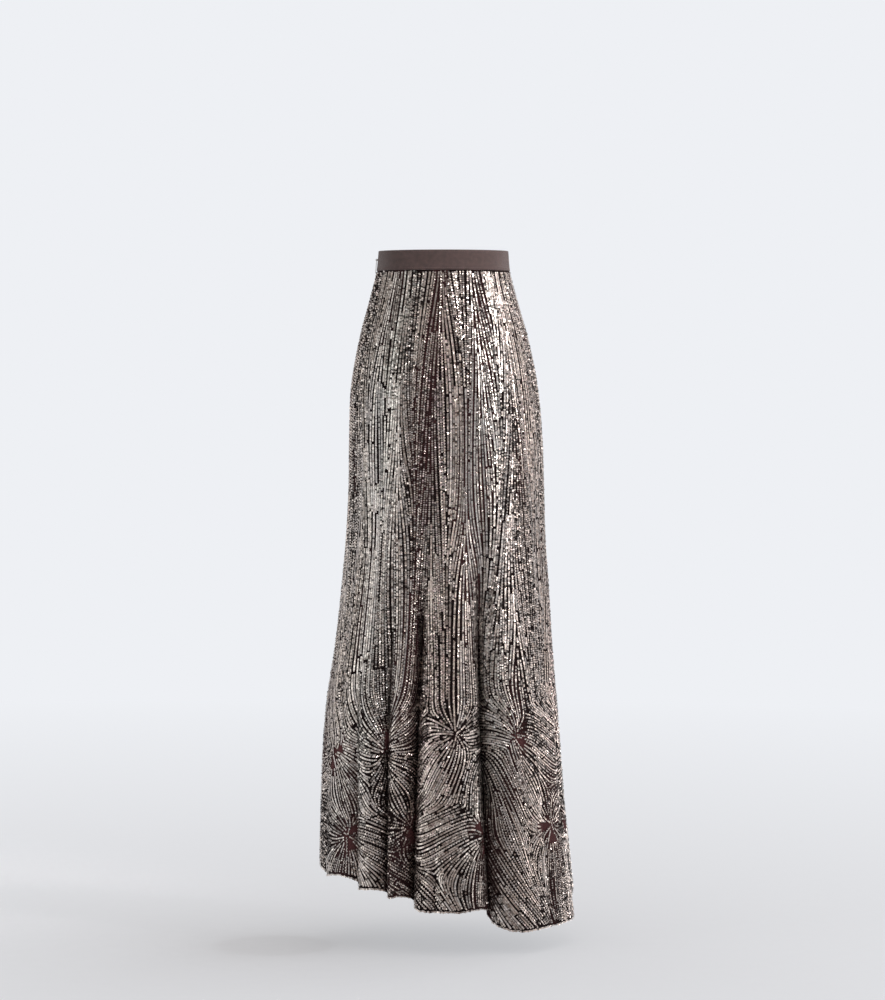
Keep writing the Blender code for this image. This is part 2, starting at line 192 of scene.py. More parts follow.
# --- The sequin rows: how a row is sewn -------------------------------------------------------
# pitch and size in metres; lean is how far each disc stands up along the row, sway how far it
# turns to alternate sides, and spread how unevenly it lies, in degrees; cup is the dish's depth
# as a share of its radius, tone lightens the row, beat shades every other disc, zigzag sets the
# discs to alternate sides of the row's line, in metres, and share is how many rows are so sewn.
Kind = namedtuple("Kind", "pitch size lean sway spread cup tone beat zigzag share")
KINDS = (
    Kind(0.0028, 0.0040, 7, 0, 6.0, 0.10, 0.02, 0.00, 0.0, 0.38),  # overlapping
    Kind(0.0022, 0.0037, 13, 0, 5.0, 0.06, 0.05, 0.00, 0.0, 0.20),  # close, like a cord
    Kind(0.0026, 0.0037, 5, 16, 6.0, 0.08, 0.00, 0.10, 0.0005, 0.26),  # plaited
    Kind(0.0040, 0.0038, 3, 0, 12.0, 0.12, -0.05, 0.00, 0.0, 0.16),  # spaced dots
)
DARK_SHARE = 0.045, 0.05  # discs that lie in another's shade, in calm and glittering patches
ASTRAY_SHARE = 0.04, 0.34  # discs that stand out of line, in calm and in glittering patches
ASTRAY_TIMES = 3.0  # how much more unevenly those lie
SPARSE_RATE, SPARSE_START = 1.2, 0.55  # how soon the darker patches set in
SPARSE_SHRINK_AND_SHADE = 0.16  # how much smaller their discs are, and how much darker with painted shade
SPARSE_BARE = 0.32  # how much of their mesh shows
GLITTER_START = 0.2
KIND_PATCH, KIND_ROW = 0.85, 0.5  # how much a row's kind follows its place, and its own chance
LEANING_SHARE = 0.6  # rows whose discs face a little upwards, the rest a little down
FIRST_DISC = (0, 0.002)
GLOSS_POWER = 2.5
BARE_REACH, BARE_POWER = 0.02, 1.5
BASE_TONE, SHADED_TONE = 0.61, 0.1
ROW_TONE, CALM_TONE, GLITTER_TONE = 0.10, 0.13, 0.12  # how uneven rows and single discs are
TINT_MIDDLE, TINT_PATCH, TINT_DISC = 0.5, 0.17, 0.14
DISC_SIZE, DISC_DISH = (0.94, 1.04), (0.4, 1.5)  # how uneven discs are, as a share of their kind's
# Patches of smaller discs, darkened with painted shade where the skirt is to look darker, most of
# all at the centre back: where each one's middle lies, how far it reaches round the body in
# degrees and down in metres, and how strong it is
Patch = namedtuple("Patch", "angle drop width length depth")
PATCHES = (
    Patch(99, 0.36, 12.0, 0.17, 3.0),
    Patch(118, 0.42, 5.0, 0.08, 2.0),
    Patch(36, 0.67, 7.0, 0.09, 1.8),
    Patch(133, 1.00, 8.0, 0.13, 2.2),
)
LOWER_SIZE, LOWER_TONE = -0.12, 0.09  # how much smaller and lighter discs are near the hem

# --- The streams that the rows follow --------------------------------------------------------
GRID_TURN, GRID_DROP = 0.5, 0.005  # the grid that the rows' headings are worked out on
CELL_TURN, CELL_DROP = 2.0, 0.007  # the cells in which a row's neighbours are looked up
STEP = 0.003  # from point to point along a row
SEED = 41
PATCH_SEED, KIND_SEED, TINT_SEED, GLITTER_SEED = 3681, 2782, 986, 1936
ROUND_DROP = 1.0  # where the stars and sweeps are measured out round the skirt
FLARE_START, FLARE_FULL = 0.70, 0.84  # drops between which stars and sweeps take over
UPPER_CALM, LOWER_CALM = 1.0, 0.22  # how strongly the rows keep to straight down
SWAY, UNEVEN_SPACING = 2.4, 0.08

# Stars are the points that rows burst from, each with bare triangles of mesh, its wedges. The
# numbers here give angles in degrees, and a pair in brackets is a range that is drawn from.
Star = namedtuple("Star", "around drop radius swirl aim wedges")
Wedge = namedtuple("Wedge", "aim half length")
STAR_RINGS = ((0.872, 9, 0.3), (1.035, 9, 0.8))  # drop, number and first place of each ring
STAR_SHIFT, STAR_RISE = 0.25, 0.045
STAR_RADIUS, STAR_SWIRL, STAR_AIM = (0.052, 0.080), (0, 14), 110
STAR_PULL, STAR_BACK, SWIRL_REACH = 3.0, 0.25, 0.06
STAR_HEART, STAR_FIRST = 0.007, 0.011  # where wedges end and where rows start, from its middle
STAR_TURN, STAR_TURN_SHIFT = 24, 6
WEDGE_CHANCE, WEDGE_OFF_AIM = 0.8, (25, 70)
WEDGE_HALF, WEDGE_LENGTH = (13, 19), (0.022, 0.034)
BARE_TOP, BARE_TURN, BARE_DROP = 0.74, 0.25, 0.001  # the map of the wedges

# Sweeps are broad slanting runs of rows between the stars
Sweep = namedtuple("Sweep", "around drop heading bow length width")
SWEEPS, SWEEP_SHIFT, SWEEP_PULL = 26, 0.4, 1.5
SWEEP_DROP, SWEEP_HEADING, SWEEP_BOW = (0.80, 1.13), (28, 72), 4
SWEEP_LENGTH, SWEEP_WIDTH = (0.09, 0.15), (0.03, 0.055)

# Vees are places where the upper rows part or close a little
VEES, VEE_DROP, VEE_SLANT = 44, (0.06, 0.74), (4, 11)
VEE_WIDTH, VEE_LENGTH = (4.0, 9.0), (0.05, 0.15)

# How rows are laid: spacings are shares of the distance between neighbouring rows
NARROW, WIDE = (0.75, 0.79), (1.30, 1.42)  # in and between the upper zone's strips
LOWER_SHARES = (0.98, 1.10, 1.26)
CROWDING, UPPER_CROWDING = (0.60, 0.74), 0.725
CROWDING_EDGE = (0.66, 0.82)  # the drop below which rows may close up further
SIDE_SLACK = 0.03
SAME_CHANCE = 0.2  # how often a narrow or wide spacing is followed by another like it
Run = namedtuple("Run", "shortest longest room")
STAR_RUN = Run(0.012, 0.30, 0.70)
FIRST_RUN = Run(0.02, 0.8, 0.97)
FILLING_RUN = Run(0.012, 0.6, 0.76)
FILLING_SHARE = 0.80
UPPER_LENGTHS, LOWER_LENGTHS = (0.3, 1.0), (0.08, 0.5)
UPPER_SHORTEST, LOWER_SHORTEST = 0.05, 0.010
FIRST_TURN, FIRST_SHIFT, FIRST_DROP = 12.0, 3, (0.2, 0.4)
HEM_MARGIN, BAND_MARGIN = 0.0010, 0.002  # between the rows and the cloth's ends
HEM_RAG = (-0.0014, 0.0010)

# --- The weaves: the distance from thread to thread --------------------------------------------
MESH_PITCH, COUCH_PITCH = 0.0011, 0.0056
BAND_CORD, BAND_PICK = 0.0011, 0.00055
TAPE_RIB, TAPE_ZIG = 0.0009, 0.002

# --- The waistband and the zip -----------------------------------------------------------------
# The drop of each row of the band's corners and half the gap between its ends there, which is
# wide at the notch for the slider's neck. The last row lies over the gores' tops.
BAND_DROPS = np.array([0, 0.0042, 0.0098, 0.0102, 0.0160, 0.0218, 0.0222, 0.0285, 0.0355])
BAND_HALVES = np.array([1.5, 1.5, 1.5, 10, 10, 10, 1.5, 1.5, 1.5]) * 1e-4
BAND_COLUMNS, BAND_ROUNDING = 168, 0.0006
STITCH_INSET, STITCH_ENDS, STITCH_PITCH = 0.0028, 0.004, 1.35
STITCH_WIDE, STITCH_HIGH, STITCH_PROUD = 0.0006, 0.0005, 0.00002
TAPE_DROPS = np.array([0.0105, 0.0218, *np.linspace(CLOTH_TOP, 0.2101, 36)])
TAPE_INSET, TAPE_COLUMNS, TAPE_DEPTHS = 0.0010, 8, (0.0026, 0.0031)
COIL_TOP, COIL_FOOT, COIL_PITCH = 0.0215, 0.2030, 0.00075
COIL_SIDE, COIL_DEPTH, COIL_LOOP = 0.0005, 0.0042, (0.0020, 0.00062, 0.0013)
METAL_ROUNDING = {
    "zip_slider": 0.00022,
    "zip_pull": 0.0002,
    "zip_stop": 0.0002,
    "waist_hook": 0.00018,
    "waist_eye": 0.00018,
}

# --- The studio: lamps' power is in watts, their spread in degrees -----------------------------
Lamp = namedtuple("Lamp", "name place target wide tall power spread colour")
WHITE, WARM, ROSY = (1.0, 1.0, 1.0), (1.0, 0.97, 0.96), (1.0, 0.965, 0.955)
LAMPS = (
    Lamp("large_left", (3.85, 1.6, 0.3), (0, 0, -0.6), 2.7, 3.2, 35.5, 180, (0.975, 1.0, 0.985)),
    Lamp("key_right", (-1.80, 0.96, 1.08), (-0.06, 0.1, -0.13), 0.75, 0.8, 0.8, 24, WARM),
    Lamp("key_spot", (-1.75, 1.05, 1.08), (-0.13, 0.1, -0.13), 0.75, 0.6, 0.8, 12, WARM),
    Lamp("mid_spot", (-1.41, 2.09, -0.21), (-0.03, 0.13, -0.66), 0.5, 0.5, 0.13, 10, WARM),
    Lamp("rim_right", (-2.0, 0.55, 0.0), (0, 0, -0.7), 0.5, 0.9, 4.0, 180, ROSY),
    Lamp("low_right", (-1.87, -1.10, -0.85), (-0.33, 0.05, -1.02), 0.5, 0.5, 0.11, 12, ROSY),
    Lamp("high_back", (-0.4, 3.2, 2.6), (0, 0, -0.7), 0.8, 0.8, 5.0, 180, (1.0, 0.95, 0.93)),
    Lamp("overhead", (0.0, 0.6, 2.6), (0, 0, -0.6), 2.0, 2.0, 8.0, 180, WHITE),
    Lamp("front_left", (3.0, -3.2, 0.5), (0, 0, -0.6), 1.8, 2.6, 18.0, 180, WHITE),
    Lamp("front_right", (-2.6, -3.0, 0.9), (0, 0, -0.5), 1.2, 1.8, 20.0, 180, WHITE),
)
# Soft glows of the surroundings: low and high are the cosines where each starts and is full
Glow = namedtuple("Glow", "aim low high colour")
GLOWS = (
    Glow((1.0, -0.17, 0.1), 0.64, 0.92, (0.26, 0.28, 0.27)),
    Glow((-1.0, -0.16, 0.1), 0.75, 0.92, (0.75, 0.705, 0.685)),
    Glow((0.0, -1.0, 0.1), 0.30, 1.00, (0.25, 0.25, 0.25)),
    Glow((0.0, 1.0, 0.1), 0.80, 0.98, (0.030, 0.027, 0.025)),
    Glow((0.0, 0.1, 1.0), 0.20, 0.90, (0.30, 0.29, 0.28)),
)
SURROUND = (0.097, 0.069, 0.060)
CAMERA_PLACE, CAMERA_TILT = (0.0027, 6.0, -0.234), 2.026
CAMERA_LENS, CAMERA_SENSOR, CAMERA_REACH = 120.24, 36.0, 60.0
FLOOR_RADIUS, FLOOR_SIDES = 9.0, 96
FLOOR_SHIFT = (-0.3, -0.1, 0)  # from the middle of the floor's fade to the skirt's own: the painted glow is weakest there, so the floor is darker towards +X
FLOOR_FADE, FLOOR_FADE_POWER, FLOOR_LEAST_FADE = (0.1, 4.6), 0.42, 0.34


# --- The garment's form ------------------------------------------------------------------------
def curve_through(xs, ys, x):
    """A smooth curve through the points (xs, ys), read at x and held level past its ends."""
    xs, ys = np.asarray(xs, float), np.asarray(ys, float)
    slopes = np.gradient(ys, xs)
    i = np.clip(np.searchsorted(xs, x) - 1, 0, len(xs) - 2)
    span = xs[i + 1] - xs[i]
    t = np.clip((x - xs[i]) / span, 0.0, 1.0)
    rise = ys[i + 1] - ys[i]
    bend = (1 - t) * slopes[i] * span - t * slopes[i + 1] * span
    return ys[i] + rise * t * t * (3 - 2 * t) + t * (1 - t) * bend


def wrapped(angle):
    """The angle between -180 and 180 degrees."""
    return (np.asarray(angle, float) + 180.0) % 360.0 - 180.0


def eased(t):
    """0 below 0, 1 above 1 and smooth between them."""
    t = np.clip(t, 0.0, 1.0)
    return t * t * (3 - 2 * t)


def hem_drop(angle):
    """How far below the waist the hem hangs at an angle round the body."""
    rows = [Hem(h.angle + turn, h.drop) for turn in (-360, 0, 360) for h in HEMS]
    return curve_through([h.angle for h in rows], [h.drop for h in rows], np.asarray(angle) % 360)


def outer_face(angle, drop):
    """Points on the cloth's outer face."""
    angle, drop = np.broadcast_arrays(np.asarray(angle, float), np.asarray(drop, float))
    drops = [s.drop for s in SECTIONS]
    left, right, back, front = (
        curve_through(drops, [getattr(s, side) for s in SECTIONS], drop)
        for side in ("left", "right", "back", "front")
    )
    turn = np.radians(angle)
    wide = np.where(np.cos(turn) > 0, left, right)
    deep = np.where(np.sin(turn) > 0, back, front)
    x, y = wide * np.cos(turn), deep * np.sin(turn)
    along = np.stack([-wide * np.sin(turn), deep * np.cos(turn)], -1)
    reach = np.linalg.norm(along, axis=-1)
    along /= reach[..., None]
    inwards, sideways = np.zeros_like(x), np.zeros_like(x)
    for fold in FOLDS:
        share = np.clip((drop - fold.start) / (LONGEST - fold.start), 0, 1)
        off = wrapped(angle - fold.top - (fold.hem - fold.top) * share) / fold.width
        size = eased((drop - fold.start) / (fold.full - fold.start)) ** FOLD_ONSET
        inwards += fold.depth * size * np.exp(-np.abs(off) ** FOLD_ROUNDING)
        mouth = np.radians(fold.width) * reach
        sideways -= FOLD_CLOSING * mouth * size * off * np.exp(-off * off)
    for crease in CREASES:
        share = (drop - crease.top) / (crease.hem - crease.top)
        off = wrapped(angle - crease.angle - crease.lean * (share - 0.5)) / crease.width
        fade = eased((drop - crease.top) / CREASE_ENDS) * eased((crease.hem - drop) / CREASE_ENDS)
        inwards += crease.depth * fade * np.exp(-off * off)
    x = x - along[..., 1] * inwards + along[..., 0] * sideways
    y = y + along[..., 0] * inwards + along[..., 1] * sideways
    return np.stack([x, y, -drop], -1)


def outwards(angle, drop, turn=0.25, rise=0.001):
    """The outer face's unit normals, from points a small step to each side."""
    across = outer_face(angle + turn, drop) - outer_face(angle - turn, drop)
    upwards = outer_face(angle, drop - rise) - outer_face(angle, drop + rise)
    normal = np.cross(across, upwards)
    return normal / np.linalg.norm(normal, axis=-1)[..., None]


def on_form(angle, drop, depth):
    """Points at a depth below the cloth's outer face."""
    return outer_face(angle, drop) - np.asarray(depth)[..., None] * outwards(angle, drop)


def degrees_of(width, angle, drop, turn=0.05):
    """The turn round the body that covers a width in metres there."""
    reach = outer_face(angle + turn, drop) - outer_face(angle - turn, drop)
    return width * 2 * turn / np.linalg.norm(reach, axis=-1)


def zip_turn(width, drop):
    """The turn from the zip's line that covers a width in metres."""
    return degrees_of(width, np.full_like(drop, ZIP_ANGLE), drop)


def unit(vectors):
    """The vectors at unit length."""
    return vectors / np.linalg.norm(vectors, axis=-1)[..., None]


# --- The streams -------------------------------------------------------------------------------
class Ripple:
    """A smooth noise of about -1 to 1 that closes round the body."""

    def __init__(self, rng, slow, fast, rate, count=7):
        self.waves = [
            (rng.integers(slow, fast), 2 * np.pi * rng.random(), rng.uniform(-rate, rate))
            for _ in range(count)
        ]

    def __call__(self, angle, drop):
        total = sum(
            np.sin(np.radians(angle * number) + 2 * np.pi * pace * drop + phase)
            for number, phase, pace in self.waves
        )
        return total / np.sqrt(len(self.waves) / 2)


class Cloth:
    """The cloth as the embroiderer sees it: on a fine grid, how far a degree and a metre of drop
    reach over it, which way the rows run and how far apart they lie."""

    def __init__(self, spacing, rng):
        self.rng = rng
        turns = np.arange(0.0, 360.0, GRID_TURN)
        drops = np.arange(CLOTH_TOP, LONGEST + GRID_DROP, GRID_DROP)
        self.columns, self.rows = len(turns), len(drops)
        angle, drop = np.meshgrid(turns, drops, indexing="ij")
        across = (outer_face(angle + 0.2, drop) - outer_face(angle - 0.2, drop)) / 0.4
        down = (outer_face(angle, drop + 0.001) - outer_face(angle, drop - 0.001)) / 0.002
        fall = np.linalg.norm(down, axis=-1)
        skew = (across * down).sum(-1) / fall
        reach = np.sqrt(np.maximum((across * across).sum(-1) - skew * skew, 1e-8))
        ring = np.linalg.norm(np.diff(outer_face(np.append(turns, 360.0), ROUND_DROP), axis=0),
                              axis=-1)
        self.turns, self.arcs = np.append(turns, 360.0), np.append(0.0, np.cumsum(ring))
        self.stars, self.sweeps = self.make_stars(), self.make_sweeps()
        heading = self.headings(angle, drop)
        self.patches = Ripple(np.random.default_rng(PATCH_SEED), 5, 14, 2.4)
        apart = spacing * (1 + UNEVEN_SPACING * Ripple(rng, 7, 16, 3.0)(angle, drop))
        self.reach, self.skew, self.fall, self.across, self.down, self.apart = (
            a.ravel().tolist()
            for a in (reach, skew, fall, np.sin(heading), np.cos(heading), apart)
        )
        self.hem = (hem_drop(turns) - HEM_MARGIN).tolist()
        self.bare = self.bare_map()
        self.cells = {}

    def make_stars(self):
        """The stars, in two uneven rings, each with up to two wedges."""
        rng, found = self.rng, []
        for drop, number, first in STAR_RINGS:
            for k in range(number):
                around = (first + k + rng.uniform(-STAR_SHIFT, STAR_SHIFT)) / number * self.arcs[-1]
                aim = rng.uniform(-STAR_AIM, STAR_AIM)
                wedges = []
                for side in (-1, 1):
                    if rng.random() < WEDGE_CHANCE:
                        way = aim + side * rng.uniform(*WEDGE_OFF_AIM)
                        wedges.append(Wedge(way, rng.uniform(*WEDGE_HALF),
                                            rng.uniform(*WEDGE_LENGTH)))
                found.append(Star(around % self.arcs[-1],
                                  drop + rng.uniform(-STAR_RISE, STAR_RISE),
                                  rng.uniform(*STAR_RADIUS),
                                  np.radians(rng.choice([-1, 1]) * rng.uniform(*STAR_SWIRL)),
                                  np.radians(aim), wedges))
        return found

    def make_sweeps(self):
        """The sweeps, all round the skirt."""
        rng, found = self.rng, []
        for k in range(SWEEPS):
            heading = np.radians(rng.choice([-1, 1]) * rng.uniform(*SWEEP_HEADING))
            around = (k + rng.uniform(-SWEEP_SHIFT, SWEEP_SHIFT)) / SWEEPS * self.arcs[-1]
            found.append(Sweep(around, rng.uniform(*SWEEP_DROP), heading,
                               rng.uniform(-SWEEP_BOW, SWEEP_BOW),
                               rng.uniform(*SWEEP_LENGTH), rng.uniform(*SWEEP_WIDTH)))
        return found

    def headings(self, angle, drop):
        """Which way the rows run, in radians from straight down towards growing angles."""
        rng = self.rng
        sway = np.radians(SWAY) * Ripple(rng, 5, 22, 1.2)(angle, drop)
        for _ in range(VEES):
            at, level = rng.uniform(0, 360), rng.uniform(*VEE_DROP)
            width, length = rng.uniform(*VEE_WIDTH), rng.uniform(*VEE_LENGTH)
            amount = np.radians(rng.uniform(*VEE_SLANT)) * rng.choice([-1, 1])
            off = wrapped(angle - at) / width
            sway += 2.0 * amount * off * np.exp(-off * off - ((drop - level) / length) ** 2)
        lower = eased((drop - FLARE_START) / (FLARE_FULL - FLARE_START))
        calm = UPPER_CALM + (LOWER_CALM - UPPER_CALM) * lower
        total_cos, total_sin = calm * np.cos(2 * sway), calm * np.sin(2 * sway)
        for star in self.stars:
            x, y, size = self.from_place(star, angle, drop)
            way = np.arctan2(x, y)
            fan = STAR_BACK + (1 - STAR_BACK) * (0.5 + 0.5 * np.cos(way - star.aim))
            weight = STAR_PULL * fan * np.exp(-((size / star.radius) ** 2))
            run = way + star.swirl * np.minimum(size / SWIRL_REACH, 1)
            total_cos += weight * np.cos(2 * run)
            total_sin += weight * np.sin(2 * run)
        for sweep in self.sweeps:
            x, y, _ = self.from_place(sweep, angle, drop)
            along = x * np.sin(sweep.heading) + y * np.cos(sweep.heading)
            aside = x * np.cos(sweep.heading) - y * np.sin(sweep.heading)
            weight = SWEEP_PULL * np.exp(
                -((along / sweep.length) ** 2) - (aside / sweep.width) ** 2)
            run = sweep.heading + sweep.bow * along
            total_cos += weight * lower * np.cos(2 * run)
            total_sin += weight * lower * np.sin(2 * run)
        return 0.5 * np.arctan2(total_sin, total_cos)

    def from_place(self, place, angle, drop):
        """How far across, down and away a point lies from a star or a sweep, in metres."""
        whole = self.arcs[-1]
        x = (np.interp(angle % 360, self.turns, self.arcs) - place.around + whole / 2) % whole
        x, y = x - whole / 2, drop - place.drop
        return x, y, np.hypot(x, y)

    def sparse(self, angle, drop):
        """1 in the darker patches, whose discs are smaller, darkened with painted shade, and show
        the mesh between them.
        """
        depth = self.patches(angle, drop)
        for patch in PATCHES:
            off = wrapped(angle - patch.angle) / patch.width
            level = (drop - patch.drop) / patch.length
            depth = depth + patch.depth * np.exp(-off * off - level * level)
        return eased(SPARSE_RATE * depth - SPARSE_START)

    def bareness(self, angle, drop, reach=0.0005):
        """1 in the bare triangles beside the stars, falling to 0 at some reach outside them."""
        bare = np.zeros(np.shape(angle))
        for star in self.stars:
            x, y, size = self.from_place(star, angle, drop)
            way = np.degrees(np.arctan2(x, y))
            for aim, half, length in star.wedges:
                off = np.radians(np.abs(wrapped(way - aim)))
                inside = np.minimum.reduce([
                    size * np.sin(np.radians(half) - np.minimum(off, 1.5)),
                    size - STAR_HEART,
                    length - size * np.cos(off),
                ])
                bare = np.maximum(bare, np.clip(1 + inside / reach, 0, 1))
        return bare

    def bare_map(self):
        """Where mesh is left bare: small triangles beside the stars."""
        turns = np.arange(0.0, 360.0, BARE_TURN)
        drops = np.arange(BARE_TOP, LONGEST + BARE_DROP, BARE_DROP)
        angle, drop = np.meshgrid(turns, drops, indexing="ij")
        bare = self.bareness(angle, drop) > 0.99
        self.bare_rows = len(drops)
        return bare.ravel().tobytes()

    def index(self, angle, drop):
        """Where the grid's lists hold a place."""
        row = int((drop - CLOTH_TOP) / GRID_DROP)
        return int(angle / GRID_TURN) % self.columns * self.rows + min(max(row, 0), self.rows - 1)

    def outside(self, angle, drop):
        """Whether a place is off the cloth or in a bare triangle."""
        if drop < CLOTH_TOP + BAND_MARGIN or drop > self.hem[int(angle / GRID_TURN) % self.columns]:
            return True
        if drop < BARE_TOP:
            return False
        column, row = int(angle / BARE_TURN), int((drop - BARE_TOP) / BARE_DROP)
        return bool(self.bare[column * self.bare_rows + row])

    def crowded(self, angle, drop, limit):
        """Whether a row already laid passes nearer than the limit."""
        i = self.index(angle, drop)
        reach, skew, fall = self.reach[i], self.skew[i], self.fall[i]
        span = int(limit / (reach * CELL_TURN)) + 1
        column, row = int(angle / CELL_TURN), int(drop / CELL_DROP)
        limit *= limit
        cells, around = self.cells, int(360 / CELL_TURN)
        for k in range(column - span, column + span + 1):
            for j in (row - 1, row, row + 1):
                for at, level in cells.get((k % around, j), ()):
                    turn = at - angle
                    if turn > 180.0:
                        turn -= 360.0
                    elif turn < -180.0:
                        turn += 360.0
                    x, y = reach * turn, skew * turn + fall * (level - drop)
                    if x * x + y * y < limit:
                        return True
        return False

    def trace(self, angle, drop, crowding, longest):
        """A row's points both ways from a place, until it would crowd another row."""
        halves = []
        for sense in (1.0, -1.0):
            at, level, x, y, half = angle, drop, 0.0, sense, []
            edge = self.rng.uniform(*CROWDING_EDGE)
            while len(half) * STEP * 2 < longest:
                i = self.index(at, level)
                u, v = self.across[i], self.down[i]
                if u * x + v * y < 0:
                    u, v = -u, -v
                x, y = u, v
                turn = STEP * u / self.reach[i]
                at = (at + turn) % 360.0
                level += (STEP * v - self.skew[i] * turn) / self.fall[i]
                room = crowding if level > edge else max(crowding, UPPER_CROWDING)
                if self.outside(at, level) or self.crowded(at, level, room * self.apart[i]):
                    break
                half.append((at, level))
            halves.append(half)
        return halves[1][::-1] + [(angle, drop)] + halves[0]

    def lay(self, row):
        """Records a row, so that the next ones keep clear of it."""
        around = int(360 / CELL_TURN)
        for at, level in row:
            cell = (int(at / CELL_TURN) % around, int(level / CELL_DROP))
            self.cells.setdefault(cell, []).append((at, level))

    def beside(self, row, every, share, sides=(1, -1)):
        """Places at a share of the spacing to the sides of a row."""
        for at, level in row[::every]:
            i = self.index(at, level)
            for side in sides:
                x, y = (side * share * self.apart[i] * v for v in (self.down[i], -self.across[i]))
                turn = x / self.reach[i]
                yield (at + turn) % 360.0, level + (y - self.skew[i] * turn) / self.fall[i]

    def hem_row(self):
        """A slightly ragged row along the hem's edge."""
        rng, angles = self.rng, [0.0]
        while angles[-1] < 360.0:
            i = self.index(angles[-1], self.hem[int(angles[-1] / GRID_TURN) % self.columns])
            angles.append(angles[-1] + STEP / self.reach[i])
        row = [(a % 360.0, h + rng.uniform(*HEM_RAG))
               for a, h in zip(angles, hem_drop(np.array(angles)))]
        self.lay(row)
        return row

    def rows_of(self):
        """Every row on the cloth, each a list of (angle, drop)."""
        rng, rows = self.rng, [self.hem_row()]
        queue = deque([(rows[0], {1: False, -1: False})])

        def sew(angle, drop, run, narrow=None):
            """Lays a row through a place if there is room for one."""
            if self.outside(angle, drop):
                return
            i = self.index(angle, drop)
            if self.crowded(angle, drop, run.room * self.apart[i]):
                return
            row = self.trace(angle, drop, rng.uniform(*CROWDING), run.longest)
            if len(row) * STEP >= run.shortest:
                self.lay(row)
                rows.append(row)
                queue.append((row, narrow or {1: rng.random() < 0.5, -1: rng.random() < 0.5}))

        for star in self.stars:
            for turn in range(0, 360, STAR_TURN):
                way = np.radians(turn + rng.uniform(-STAR_TURN_SHIFT, STAR_TURN_SHIFT))
                around = (star.around + STAR_FIRST * np.sin(way)) % self.arcs[-1]
                angle = np.interp(around, self.arcs, self.turns) % 360
                sew(angle, star.drop + STAR_FIRST * np.cos(way), STAR_RUN)
        for at in np.arange(0.0, 360.0, FIRST_TURN):
            angle = (at + rng.uniform(-FIRST_SHIFT, FIRST_SHIFT)) % 360
            sew(angle, rng.uniform(*FIRST_DROP), FIRST_RUN)
        while queue:
            row, narrow = queue.popleft()
            upper = row[0][1] < FLARE_START
            lengths = UPPER_LENGTHS if upper else LOWER_LENGTHS
            shortest = UPPER_SHORTEST if upper else LOWER_SHORTEST
            for side in (1, -1):
                share = rng.uniform(*(NARROW if narrow[side] else WIDE))
                if not upper:
                    share = rng.choice(LOWER_SHARES)
                again = rng.random() < SAME_CHANCE
                following = {side: narrow[side] == again, -side: narrow[side]}
                for angle, drop in self.beside(row, 2, share, (side,)):
                    run = Run(shortest, rng.uniform(*lengths), share - SIDE_SLACK)
                    sew(angle, drop, run, following)
        for row in list(rows):  # the gaps too narrow for a full spacing on both sides
            for angle, drop in self.beside(row, 3, FILLING_SHARE):
                sew(angle, drop, FILLING_RUN)
        return rows


# --- Building tools ----------------------------------------------------------------------------
def added(obj_name, mesh, material, body=BODY):
    """A new object at the origin that rides on a body."""
    mesh.materials.append(material)
    obj = bpy.data.objects.new(obj_name, mesh)
    bpy.context.scene.collection.objects.link(obj)
    if body:
        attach(obj, body)
    return obj


def mesh_of(bm, name, crease):
    """The bmesh as a mesh, smooth but where it turns by more than crease, in degrees."""
    mesh = bpy.data.meshes.new(name)
    bm.to_mesh(mesh)
    bm.free()
    mesh.shade_smooth()
    mesh.set_sharp_from_angle(angle=np.radians(crease))
    return mesh


def round_off(bm, edges, width, segments):
    bmesh.ops.bevel(
        bm, geom=edges, offset=width, offset_type="OFFSET", affect="EDGES",
        segments=segments, profile=0.5, material=-1, clamp_overlap=True,
    )


def cloth_wall(name, material, place, size, columns, levels, outer, inner, round_edge=0.0):
    """A piece of cloth: place(column, row) gives the angle and drop of its grid's corners, size
    its width and length, levels how far down each row of corners lies, and outer and inner the
    depths of its two faces. Its map is in metres, across and down."""
    rows = len(levels) - 1
    shares = (np.asarray(levels) - levels[0]) / (levels[-1] - levels[0])
    bm = bmesh.new()
    bmesh.ops.create_grid(bm, x_segments=columns, y_segments=rows, size=0.5)
    shell = bmesh.ops.extrude_face_region(bm, geom=bm.faces[:], use_keep_orig=True)
    lining = {v for v in shell["geom"] if isinstance(v, bmesh.types.BMVert)}
    verts = list(bm.verts)
    flat = np.array([v.co for v in verts])
    column = np.rint((flat[:, 0] + 0.5) * columns).astype(int)
    row = np.rint((0.5 - flat[:, 1]) * rows).astype(int)
    layer = bm.loops.layers.uv.new("cloth")
    for face in bm.faces:
        inside = all(v in lining for v in face.verts)
        for loop in face.loops:
            x, y = loop.vert.co.x + 0.5, shares[round((0.5 - loop.vert.co.y) * rows)]
            loop[layer].uv = (x * size[0] + inside * INSIDE_MAP, y * size[1])
    angle, drop = place(column, row)
    depth = np.array([inner if v in lining else outer for v in verts])
    for vert, point in zip(verts, on_form(angle, drop, depth)):
        vert.co = point
    bmesh.ops.recalc_face_normals(bm, faces=bm.faces)
    if round_edge:
        round_off(bm, [e for e in bm.edges if e.calc_face_angle(0.0) > 1.0], round_edge, 3)
    return added(name, mesh_of(bm, name, 50), material)


